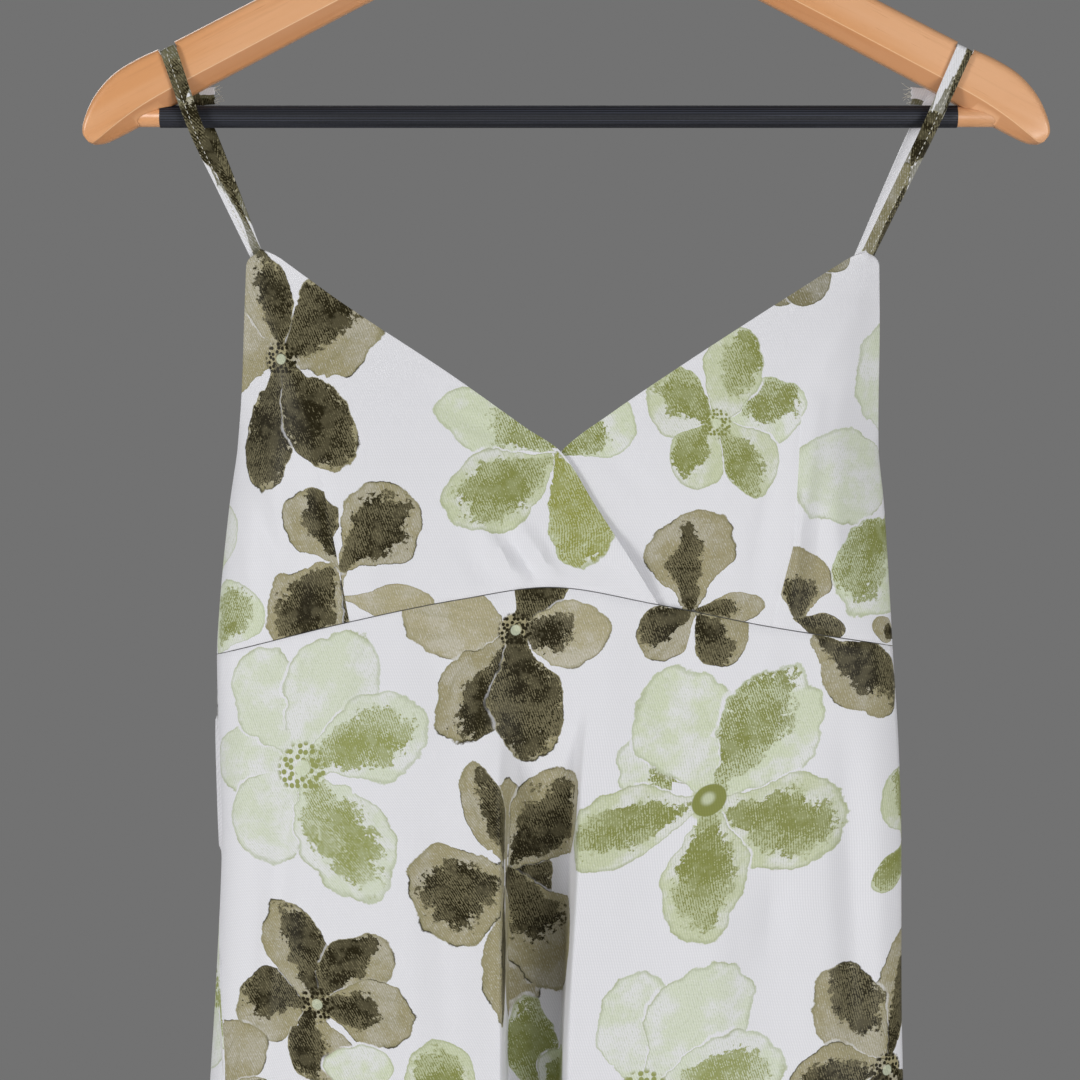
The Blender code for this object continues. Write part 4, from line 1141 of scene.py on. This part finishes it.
def makeCup(side, neckline, materials):
    rows, dartColumn = cupRows(side, neckline)
    if side == "right":
        rows = [list(reversed(row)) for row in rows]
        dartColumn = len(rows[0]) - 1 - dartColumn
    lengths = rowLengths(rows, dartColumn, lambda row: row[dartColumn].x)
    spec = darts[side]
    low = spec["line"][0][1]

    def coordinates(column, row, first):
        z = rows[row][column].z
        taken = spec["intake"] * min(max((spec["apex"] - z) / (spec["apex"] - low), 0), 1)
        shift = -0.5 * taken if first < dartColumn else 0.5 * taken
        return lengths[row][column] + shift, z

    makePanel("cup" + side.capitalize(), "cup_" + side, rows, lengths, coordinates, materials)


bodiceBack = {"rows": 22, "columns": 76}


def makeBodiceBack(materials):
    rows = []
    shares = [0.0, 0.012, 0.03, 0.06]
    steps = bodiceBack["rows"]
    shares += [0.06 + 0.94 * index / steps for index in range(1, steps + 1)]
    half = 0.5 * (body["underarm"] + body["sideSeam"])
    for share in shares:
        points = []
        for index in range(1, bodiceBack["columns"]):
            angle = math.pi * (1 - index / bodiceBack["columns"])
            x = sectionX(angle, half)
            bottom = seamHeight(x, "back")
            z = bottom + (readTable(backTop, "z", x, "x") - bottom) * share
            points.append(skirtPoint("back", sectionX(angle, z), z))
        ends = []
        for left in (True, False):
            bottom = seamHeight(readTable(body, "left" if left else "right", body["sideSeam"]),
                                "back")
            ends.append(stripEnds(bottom + (body["underarm"] - bottom) * share, left, False))
        rows.append(list(reversed(ends[0] + points + list(reversed(ends[1])))))
    makeBackPanel("bodiceBack", "bodice_back", rows, materials)


# hanger: the solid's own stations, drawn finer and with a rounder section
arm = {
    "upperX": (0.0, 14.0, 34.0, 60.0, 120.0, 179.0, 196.0, 207.5, 216.0, 220.8, 222.0, 219.6),
    "upperZ": (121.0, 118.2, 109.3, 95.9, 64.9, 34.4, 26.4, 19.2, 9.6, -0.6, -7.6, -11.6),
    "lowerX": (0.0, 9.0, 23.0, 48.0, 108.5, 167.0, 181.0, 189.5, 198.5, 206.5, 212.0, 216.2),
    "lowerZ": (97.0, 95.6, 88.4, 74.9, 43.5, 12.4, 4.4, -0.6, -5.6, -9.8, -12.2, -12.8),
    "depth": (1.0, 1.0, 1.0, 1.0, 1.0, 1.0, 1.0, 1.0, 0.98, 0.93, 0.80, 0.55),
    "thick": 15.0, "steps": 6, "slope": math.radians(27.4),
    "notchX": 183.5, "notchWide": 8.4, "notchDeep": 3.6,
    "section": ((0.0, 0.34, 0), (0.008, 0.40, -1), (0.03, 0.455, -1), (0.04, 0.478, -1),
                (0.238, 0.935, -1), (0.246, 0.953, -0.3), (0.254, 0.97, 1), (0.262, 0.984, 0.6),
                (0.272, 0.995, 0), (0.285, 1.0, 0), (0.30, 1.0, 0), (0.835, 1.0, 0),
                (0.85, 1.0, 0), (0.885, 0.985, 0), (0.93, 0.925, 0), (0.965, 0.81, 0),
                (0.985, 0.67, 0.4), (1.0, 0.48, 0.4)),      # height, depth, painted light on the edges: highlight above nought, shade on the chamfer below nought
}
bar = {"dowel": 4.75, "sleeve": 5.15, "from": -186.6, "to": 179.7, "half": 205.5, "ribs": 26}
hook = {"wire": 4.0, "inside": 18.0, "crown": 62.0, "inWood": 19.0, "turn": (205, -48),
        "shank": 8, "pull": 30, "tip": ((1.8, 0.30), (1.5, 0.62), (0.9, 0.88))}
strap = {
    "front": {"left": ((-169.6, -5.5), (-157.6, -31.0), (-141.6, -64.4)),
              "right": ((166.4, -5.5), (152.4, -34.0), (137.6, -64.4))},
    "back": {"left": ((-165.4, -5.5), (-139.0, -73.0), (-106.5, -158.6)),
             "right": ((162.0, -5.5), (132.5, -72.0), (94.5, -158.6))},
    "thick": 1.4, "wideAtHanger": 7.4, "wideAtCup": 5.4, "clear": 0.45, "tuck": 8.0,
    "step": 1.6, "columns": 9, "cupWall": 1.6, "cupGap": 0.9, "printReach": 1.05,
    "steep": 0.35, "crown": 0.22, "sink": 0.1,
}


def catmullRom(before, here, there, after, share):
    return (here + 0.5 * share * (there - before)
            + 0.5 * share ** 2 * (2 * before - 5 * here + 4 * there - after)
            + 0.5 * share ** 3 * (3 * (here - there) + after - before))


def armStations():
    columns = ("upperX", "upperZ", "lowerX", "lowerZ", "depth")
    count = len(arm["upperX"])
    stations = []
    for index in range(count - 1):
        for step in range(arm["steps"]):
            station = []
            for column in columns:
                values = arm[column]
                before = values[max(index - 1, 0)]
                if index == 0:
                    before = -values[1] if column.endswith("X") else values[1]
                after = values[min(index + 2, count - 1)]
                station.append(catmullRom(before, values[index], values[index + 1], after,
                                          step / arm["steps"]))
            stations.append(dict(zip(columns, station)))
    stations.append({column: arm[column][-1] for column in columns})
    return stations


def armRing(station, sign):
    lower = Vector((sign * station["lowerX"], 0, station["lowerZ"]))
    upper = Vector((sign * station["upperX"], 0, station["upperZ"]))
    half = arm["thick"] * 0.5 * station["depth"]
    front = [lower.lerp(upper, high) + Vector((0, -half * share, 0))
             for high, share, _ in arm["section"]]
    back = [Vector((point.x, -point.y, point.z)) for point in reversed(front)]
    return front + back


def bridged(rings, name, material, paintedLight=()):      # closed rings joined, with flat ends
    shape = bmesh.new()
    # per point: painted light for the colour, highlight above nought and shade below
    paintedLightLayer = shape.verts.layers.float.new("paintedLight")
    loops = []
    for ring in rings:
        verts = [shape.verts.new(placed(point)) for point in ring]
        for vert, value in zip(verts, paintedLight):
            vert[paintedLightLayer] = value
        loops.append([shape.edges.new((verts[i], verts[(i + 1) % len(verts)]))
                      for i in range(len(verts))])
    for before, after in zip(loops, loops[1:]):
        bmesh.ops.bridge_loops(shape, edges=before + after)
    for loop in (loops[0], loops[-1]):
        bmesh.ops.contextual_create(shape, geom=loop)
    bmesh.ops.recalc_face_normals(shape, faces=shape.faces)
    piece = pieceFrom(shape, name, material)
    piece.data.shade_smooth()
    return piece


def notchFloor(side):
    sign = -1 if side == "left" else 1
    table = {"x": arm["upperX"][:9], "z": arm["upperZ"][:9]}
    top = readTable(table, "z", arm["notchX"], "x")
    out = Vector((sign * math.sin(arm["slope"]), 0, math.cos(arm["slope"])))
    return Vector((sign * arm["notchX"], 0, top)) - out * arm["notchDeep"], out


def cutAway(piece, name, build):        # cuts a closed shape, made by build, out of a piece
    shape = bmesh.new()
    build(shape)
    cutter = pieceFrom(shape, name)
    boolean = piece.modifiers.new(name, "BOOLEAN")
    boolean.operation = "DIFFERENCE"
    boolean.solver = "EXACT"
    boolean.object = cutter
    applyModifiers(piece)
    bpy.data.meshes.remove(cutter.data)


def makeHangerWood(material):
    stations = armStations()
    rings = [armRing(station, -1) for station in reversed(stations[1:])]
    rings += [armRing(station, 1) for station in stations]
    # painted highlight on the chamfer's upper edge and the top edge, painted shade on the chamfer
    paintedLight = [value for _, _, value in arm["section"]]
    wood = bridged(rings, "hangerWood", material, paintedLight + paintedLight[::-1])
    for side in ("left", "right"):
        floor, out = notchFloor(side)
        high = arm["notchDeep"] * 4
        turn = Matrix.Rotation((-1 if side == "left" else 1) * arm["slope"], 4, "Y")
        size = Matrix.Diagonal((arm["notchWide"] * mm, arm["thick"] * 2 * mm, high * mm, 1))
        place = Matrix.Translation(placed(floor + out * high * 0.5)) @ turn @ size
        cutAway(wood, "notch", lambda shape: bmesh.ops.create_cube(shape, size=1, matrix=place))

    def rod(radius, fromX, toX):
        turn = Matrix.Rotation(math.radians(90), 4, "Y")
        place = Matrix.Translation(placed(Vector((0.5 * (fromX + toX), 0, 0)))) @ turn
        return lambda shape: bmesh.ops.create_cone(
            shape, cap_ends=True, segments=48, radius1=radius * mm, radius2=radius * mm,
            depth=(toX - fromX) * mm, matrix=place)

    cutAway(wood, "socket", rod(bar["dowel"] + 0.15, -bar["half"] - 0.2, bar["half"] + 0.2))
    cutAway(wood, "sleeveRoom", rod(bar["sleeve"] + 0.2, bar["from"] - 0.3, bar["to"] + 0.3))
    soft = wood.modifiers.new("softEdges", "BEVEL")
    soft.width = 0.35 * mm
    soft.segments = 2
    soft.limit_method = "ANGLE"
    soft.angle_limit = math.radians(50)
    applyModifiers(wood)
    wood.data.shade_smooth()
    wood.data.set_sharp_from_angle(angle=math.radians(48))
    rideAs(wood, "hanger_wood")


def tubeAlongX(name, profile, material, segments, ribbed=0.0):    # profile of x and radius
    rings = []
    for x, radius in profile:
        ring = []
        for index in range(segments):
            angle = math.tau * index / segments
            reach = radius - (ribbed if index % 2 else 0.0)
            ring.append(Vector((x, reach * math.cos(angle), reach * math.sin(angle))))
        rings.append(ring)
    return bridged(rings, name, material)


def makeBar(woodFinish, sleeveFinish):
    half, radius = bar["half"], bar["dowel"]
    dowel = tubeAlongX("barDowel", [(-half, radius - 0.5), (-half + 0.5, radius),
                                    (half - 0.5, radius), (half, radius - 0.5)], woodFinish, 48)
    rideAs(dowel, "hanger_bar")
    low, high, outer = bar["from"], bar["to"], bar["sleeve"]
    inner = radius + 0.1
    profile = [(low, inner), (low, outer - 0.08), (low + 0.3, outer)]
    profile += [(low + 0.3 + (high - low - 0.6) * index / 40, outer) for index in range(1, 40)]
    profile += [(high - 0.3, outer), (high, outer - 0.08), (high, inner)]
    sleeve = tubeAlongX("barSleeve", profile, sleeveFinish, bar["ribs"] * 2, 0.3)
    rideAs(sleeve, "bar_sleeve")


def roundCurve(name, radius, smoothness):
    curve = bpy.data.curves.new(name, "CURVE")
    curve.dimensions = "3D"
    curve.bevel_depth = radius
    curve.bevel_resolution = smoothness
    curve.use_fill_caps = True
    return curve


def shapeOf(curve):         # the tube round a curve, as a bmesh
    made = addObject(curve.name, curve)
    bpy.context.view_layer.update()
    seen = made.evaluated_get(bpy.context.evaluated_depsgraph_get())
    mesh = bpy.data.meshes.new_from_object(seen)
    bpy.data.objects.remove(made)
    shape = bmesh.new()
    shape.from_mesh(mesh)
    bpy.data.meshes.remove(mesh)
    return shape


def makeHook(material):
    radius = hook["inside"] + hook["wire"] * 0.5
    points = []
    first, last = [math.radians(turn) for turn in hook["turn"]]
    for step in range(49):
        angle = first + (last - first) * step / 48
        x, z = radius * math.cos(angle), radius * math.sin(angle)
        points.append(Vector((x, -hook["inside"] + z)))
    start, leaving = points[-1], Vector((math.sin(last), -math.cos(last))) * hook["pull"]
    bottom, arriving = Vector((0, -hook["crown"] + hook["shank"])), Vector((0, -hook["pull"]))
    for step in range(1, 17):
        points.append(hermite(start, leaving, bottom, arriving, step / 16))
    points.append(Vector((0, -hook["crown"] - hook["inWood"])))
    curve = roundCurve("hangerHook", hook["wire"] * 0.5 * mm, 6)
    tip = (points[0] - points[1]).normalized()
    spots = [(points[0] + tip * out, thin) for out, thin in hook["tip"]]
    spots += [(point, 1.0) for point in points]
    spline = curve.splines.new("POLY")
    spline.points.add(len(spots) - 1)
    for slot, (spot, thin) in zip(spline.points, spots):
        slot.co = (spot.x * mm, 0, spot.y * mm, 1)
        slot.radius = thin
    shape = shapeOf(curve)
    bmesh.ops.remove_doubles(shape, verts=shape.verts, dist=0.00001)
    piece = pieceFrom(shape, "hangerHook", material)
    piece.data.shade_smooth()
    rideAs(piece, "hanger_hook")


def strapRoute(side):
    sign = -1 if side == "left" else 1
    alongArm = Vector((-sign * math.cos(arm["slope"]), 0, math.sin(arm["slope"])))
    floor, out = notchFloor(side)
    half, clear = arm["thick"] * 0.5, strap["clear"]

    def hangingRun(points, sewn):
        hung = [Vector((x, 0, z)) for x, z in points]
        hung.append(hung[-1] + (hung[-1] - hung[-2]).normalized() * strap["tuck"])
        for index, point in enumerate(hung):
            drift = smoothStep(1.3 * index / (len(hung) - 1))
            point.y = half + clear + (sewn - half - clear) * drift
        return hung

    outer = strap["wideAtCup"] * 0.5 * sign
    cupX = strap["front"][side][-1][0] + outer
    edge = readTable(body, side, body["cupPoint"])
    cupX = max(cupX, edge) if side == "left" else min(cupX, edge)
    within = strap["cupWall"] + strap["thick"]
    cupInside = bodyDepth("front", cupX, body["cupPoint"]) - within - strap["cupGap"]
    backX = strap["back"][side][-1][0] + outer
    backInside = bodyDepth("back", backX, body["underarm"]) - within - clear
    front = hangingRun(strap["front"][side], cupInside)
    back = hangingRun(strap["back"][side], backInside)
    route = [Vector((point.x, -point.y, point.z)) for point in reversed(front)]
    corners = []
    for corner in range(5):
        angle = math.radians(22.5 * corner)
        corners.append((half + clear * math.cos(angle), clear * math.sin(angle)))
    route += [floor + out * high + Vector((0, -deep, 0)) for deep, high in corners]
    route += [floor + out * high + Vector((0, deep, 0)) for deep, high in reversed(corners)]
    top = len(front) + 4
    return route + back, alongArm, top


def denseRoute(route, top):       # short steps, straight where the band turns over the notch
    found, travelled = [], 0.0
    for index in range(len(route) - 1):
        here, there = route[index], route[index + 1]
        span = (there - here).length
        steps = max(1, round(span / strap["step"]))
        for step in range(steps):
            share = step / steps
            if span > 12 and 0 < index < len(route) - 2:
                before, after = route[index - 1], route[index + 2]
                if (here - before).length <= 6:
                    before = here * 2 - there
                if (after - there).length <= 6:
                    after = there * 2 - here
                found.append(catmullRom(before, here, there, after, share))
            else:
                found.append(here.lerp(there, share))
        if index < top:
            travelled += span
    found.append(route[-1])
    return found, travelled


def paintBand(piece, specs):
    ready = [{**spec, "at": (spec["x"] * mm, spec["z"] * mm)} for spec in specs]
    paintPetals(piece.data, ready, strap["printReach"])


def makeStrap(side, materials, threadFinish):
    route, alongArm, top = strapRoute(side)
    path, topAt = denseRoute(route, top)
    runs = [0.0]
    for before, after in zip(path, path[1:]):
        runs.append(runs[-1] + (after - before).length)
    sign = 1 if side == "left" else -1
    rows, normals, acrosses = [], [], []
    for index, point in enumerate(path):
        run = path[min(index + 1, len(path) - 1)] - path[max(index - 1, 0)]
        overTop = abs(run.y) > strap["steep"] * run.length
        across = Vector((run.z, 0, -run.x))
        if overTop or across.length == 0:
            across = alongArm.copy()
        across.normalize()
        if across.dot(alongArm) < 0:
            across = -across
        share = min(abs(runs[index] - topAt) / topAt, 1.0)
        wide = strap["wideAtHanger"] + (strap["wideAtCup"] - strap["wideAtHanger"]) * share
        outside = run.cross(across).normalized()
        behind = 1 if index > len(path) / 2 else -1
        if (outside.z if overTop else outside.y * behind) < 0:
            outside = -outside
        normals.append(outside)
        acrosses.append((across, wide))
        row = []
        for column in range(strap["columns"]):
            place = column / (strap["columns"] - 1) - 0.5
            crown = strap["crown"] * (1 - (2 * place) ** 2) - strap["sink"]
            row.append(point + across * place * wide * sign + outside * crown)
        rows.append(row)

    def coordinates(column, row, first):
        place = column / (strap["columns"] - 1) - 0.5
        return place * acrosses[row][1], runs[row]

    name = "strap" + side.capitalize()
    piece = gridPiece(name, rows, coordinates, materials, strap["thick"] * mm, True)
    paintBand(piece, strapFlowers[side])
    rideAs(piece, "strap_" + side)
    makeStitches(name + "Stitches", path, runs, normals, acrosses, threadFinish)
    # folded double: the width is all round, and the area is one layer's
    patternArea(piece)


# blotches of the print that fall on the narrow bands: across, along, then petals
strapFlowers = {
    "left": [
        flower(0, -40, None, (90, 330, 60, "olive", "none")),
        flower(-2.0, 2, None, (90, 42, 2.6, "white", "none")),
        flower(-3.0, 30, None, (90, 42, 1.3, "white", "none")),
        flower(2.4, 22, None, (91, 50, 2.4, "dark", "full")),
        flower(0, 50, None, (88, 38, 9, "dark", "full")),
        flower(0, 86, None, (92, 20, 9, "dark", "full")),
        flower(0, 132, None, (90, 66, 9, "dark", "full")),
        flower(-2, 196, None, (92, 50, 8, "white", "none")),
    ],
    "right": [
        flower(0, -20, None, (90, 150, 60, "olive", "none")),
        flower(-0.6, -6, None, (90, 62, 5.2, "deep", "none")),
        flower(2.8, 2, None, (91, 44, 1.5, "dark", "full")),
        flower(0, 55, None, (90, 26, 9, "dark", "full")),
        flower(2.8, 80, None, (90, 40, 2.2, "dark", "full")),
        flower(-2.2, 80, None, (90, 48, 3.2, "white", "none")),
        flower(3, 214, None, (92, 58, 5.0, "mint", "none")),
    ],
}
stitch = {"pitch": 2.5, "length": 1.9, "radius": 0.21, "inset": 0.15, "lift": 0.05}


def makeStitches(name, path, runs, normals, acrosses, material):     # short, raised, one row
    shape = bmesh.new()
    at = 3.0
    index = 0
    while at < runs[-1] - 3:
        while runs[index + 1] < at:
            index += 1
        share = (at - runs[index]) / (runs[index + 1] - runs[index])
        across, wide = acrosses[index]
        crown = strap["crown"] - strap["sink"] + strap["thick"] + stitch["lift"]
        point = path[index].lerp(path[index + 1], share)
        point = point - across * wide * stitch["inset"] + normals[index] * crown
        run = (path[index + 1] - path[index]).normalized()
        turn = run.to_track_quat("X", "Z").to_matrix().to_4x4()
        size = Matrix.Diagonal((stitch["length"] * 0.5 * mm, stitch["radius"] * mm,
                                stitch["radius"] * mm, 1))
        bmesh.ops.create_icosphere(shape, subdivisions=1, radius=1,
                                   matrix=Matrix.Translation(placed(point)) @ turn @ size)
        at += stitch["pitch"]
    piece = pieceFrom(shape, name, material)
    piece.data.shade_smooth()
    rideAs(piece)


tail = {"startX": {"left": -177.6, "right": 174.8}, "length": 15.0, "width": 8.0, "rise": 9.5,
        "tilt": 1.6, "lift": 0.8, "threads": 16, "behind": 0.45, "ragged": 0.45, "wave": 0.25,
        "clothStep": (1.07, 1.0), "clothFrom": {"left": 400, "right": 500}, "thread": 0.09}
tailFlowers = {"left": [flower(8, 392, None, (88, 13, 30, "olive", "lens"))],
               "right": [flower(12, 497, None, (80, 6, 4, "olive", "none"))]}


def makeTail(side, materials, threadFinish):       # raw strap end with loose threads
    sign = -1 if side == "left" else 1
    depth = arm["thick"] * 0.5 + strap["clear"] + strap["thick"] + tail["behind"]
    rows = []
    high, long = 9, 14
    for row in range(high):
        line = []
        for column in range(long + 1):
            out = column / long
            x = tail["startX"][side] - sign * tail["length"] * out
            ragged = tail["ragged"] * math.sin(row * 2.4 + 1.0) if column == long else 0.0
            z = tail["rise"] + tail["width"] * (row / (high - 1) - 0.5) + tail["tilt"] * out
            wave = tail["wave"] * math.sin(out * 5 + row * 0.5)
            line.append(Vector((x - sign * ragged, depth + tail["lift"] * out + wave * out, z)))
        rows.append(line if side == "right" else list(reversed(line)))

    def coordinates(column, row, first):
        alongStep, acrossStep = tail["clothStep"]
        return column * alongStep, row * acrossStep + tail["clothFrom"][side]

    piece = gridPiece("strapTail" + side.capitalize(), rows, coordinates, materials,
                      strap["thick"] * mm, True)
    paintBand(piece, tailFlowers[side])
    rideAs(piece, "strap_tail_" + side)
    patternArea(piece)
    dice = random.Random(side)
    curve = roundCurve("threads", tail["thread"] * mm, 1)
    endX = tail["startX"][side] - sign * tail["length"]
    for _ in range(tail["threads"]):
        z = tail["rise"] + tail["tilt"] + tail["width"] * dice.uniform(-0.48, 0.48)
        spot = Vector((endX + sign * 0.6, depth + tail["lift"] + dice.uniform(0.3, 1.2), z))
        step = Vector((-sign * dice.uniform(0.5, 1.1), dice.uniform(-0.3, 0.4),
                       dice.uniform(-0.5, 0.6)))
        spline = curve.splines.new("POLY")
        count = dice.choice((3, 4, 5))
        spline.points.add(count)
        for index in range(count + 1):
            spline.points[index].co = (*placed(spot), 1)
            spot = spot + step
            step = step + Vector((0, dice.uniform(-0.15, 0.15), dice.uniform(-0.4, 0.3)))
    threads = pieceFrom(shapeOf(curve), "rawThreads" + side.capitalize(), threadFinish)
    rideAs(threads)


def woodMaterial():
    material, nodes = newMaterial("lacqueredWood")
    x, y, z = nodes.split(nodes.place())
    across = nodes.sum(z, nodes.times(nodes.math("ABSOLUTE", x), math.tan(arm["slope"])))

    def along(scales, detail, roughness):       # noise drawn out along the arms
        spot = [nodes.times(part, scale) for part, scale in zip((x, y, across), scales)]
        return nodes.noise(nodes.join(*spot), 1.0, detail, roughness)

    grain = along((14.0, 220.0, 300.0), 5.0, 0.62)
    broad = along((7.0, 50.0, 62.0), 3.0, 0.5)
    pores = along((90.0, 1400.0, 1500.0), 2.0, 0.5)
    light, honey, deep, edge = [(*tone(*mixed), 1) for mixed in (
        (234, 178, 132), (224, 160, 106), (188, 122, 70), (255, 222, 176))]
    paintedLight = nodes.attribute("paintedLight", "Fac")
    colour = nodes.mix(nodes.ramp(broad, 0.3, 0.7), light, honey)
    colour = nodes.mix(nodes.ramp(grain, 0.5, 0.78, 0.0, 0.42), colour, deep)
    colour = nodes.mix(nodes.ramp(pores, 0.66, 0.78, 0.0, 0.35), colour, deep)
    # painted shade darkens the lower chamfer, and painted highlight lightens the edge above it and
    # the arm's top edge
    colour = nodes.mix(nodes.ramp(paintedLight, -0.1, -0.9, 0.0, 0.55), colour, deep)
    colour = nodes.mix(nodes.times(nodes.ramp(paintedLight, 0.2, 1.0), 0.6), colour, edge)
    nodes.surface(Base_Color=colour, Roughness=nodes.ramp(grain, 0.3, 0.7, 0.34, 0.46),
                  Coat_Weight=0.25, Coat_Roughness=0.22)
    nodes.relief(grain, 0.18, 0.0001)
    return material


def sleeveMaterial():
    material, nodes = newMaterial("blackRibbedSleeve")
    place = nodes.vector("ADD", nodes.place(), (0.0, 0.0, barDrop))
    speck = nodes.noise(place, 900.0, 3.0, 0.6)
    streak = nodes.add("ShaderNodeMapping", Vector=place, Scale=(6.0, 500.0, 500.0))
    paintedLight = nodes.noise(streak.outputs[0], 1.0, 3.0, 0.6)
    _, y, z = nodes.split(place)
    turned = nodes.math("ARCTAN2", z, y)
    # painted highlight: the rib crests are painted lighter, more in some streaks along the sleeve
    # than in others
    crest = nodes.math("COSINE", nodes.times(turned, float(bar["ribs"])))
    crest = nodes.times(nodes.ramp(crest, 0.1, 0.9), nodes.ramp(paintedLight, 0.38, 0.60, 0.15, 1.0))
    colour = nodes.mix(crest, (*tone(20, 22, 29), 1), (*tone(56, 60, 74), 1))
    colour = nodes.mix(nodes.ramp(speck, 0.6, 0.8, 0.0, 0.3), colour, (*tone(70, 72, 82), 1))
    nodes.surface(Base_Color=colour, Roughness=nodes.ramp(speck, 0.3, 0.7, 0.5, 0.72))
    nodes.relief(speck, 0.25, 0.00008)
    return material


def steelMaterial():
    material, nodes = newMaterial("platedSteel")
    smear = nodes.noise(nodes.place(), 120.0, 4.0, 0.6)
    colour = nodes.mix(nodes.ramp(smear, 0.35, 0.7), (0.62, 0.62, 0.63, 1), (0.78, 0.78, 0.79, 1))
    nodes.surface(Base_Color=colour, Metallic=1.0,
                  Roughness=nodes.ramp(smear, 0.3, 0.75, 0.14, 0.30))
    nodes.relief(smear, 0.05, 0.0001)
    return material


def threadMaterial():
    material, nodes = newMaterial("paleThread")
    twist = nodes.noise(nodes.place(), 2600.0, 2.0, 0.6)
    colour = nodes.mix(nodes.ramp(twist, 0.35, 0.7), (*tone(205, 202, 186), 1),
                       (*tone(236, 234, 226), 1))
    nodes.surface(Base_Color=colour, Roughness=0.6)
    return material


def makeFloor():            # plain and pale, and short enough to stay out of the level view
    shape = bmesh.new()
    bmesh.ops.create_grid(shape, x_segments=1, y_segments=1, size=stage["floorSize"] * 0.5)
    level = body["hem"] * mm - barDrop - stage["floorBelowHem"]
    bmesh.ops.translate(shape, verts=shape.verts, vec=(0, 0, level))
    material, nodes = newMaterial("paleFloor")
    mottle = nodes.noise(nodes.place(), 3.0, 3.0, 0.5)
    base = stage["grey"]
    colour = nodes.mix(nodes.ramp(mottle, 0.3, 0.7), (*base, 1), (*[c * 0.97 for c in base], 1))
    nodes.surface(Base_Color=colour, Roughness=0.85)
    pieceFrom(shape, "floor", material)


makeCamera()
makeLights()
makeFloor()
print("camera, lights and floor are set")
face = printMaterial("printedTwill", 0.0, True)
reverse = printMaterial("printedTwillReverse", 0.72, True)
band = printMaterial("printedBand", 0.0, False)
thread = threadMaterial()
wood = woodMaterial()
makeCup("left", leftNeck, [face, reverse])
makeCup("right", rightNeck, [face, reverse])
makeBodiceBack([face, reverse])
makeSkirtFront([face, reverse])
makeSkirtBack([face, reverse])
print("cloth panels are made")
for side in ("left", "right"):
    makeStrap(side, [band], thread)
    makeTail(side, [band], thread)
print("straps are made")
makeHangerWood(wood)
makeBar(wood, sleeveMaterial())
makeHook(steelMaterial())
print("hanger is made")
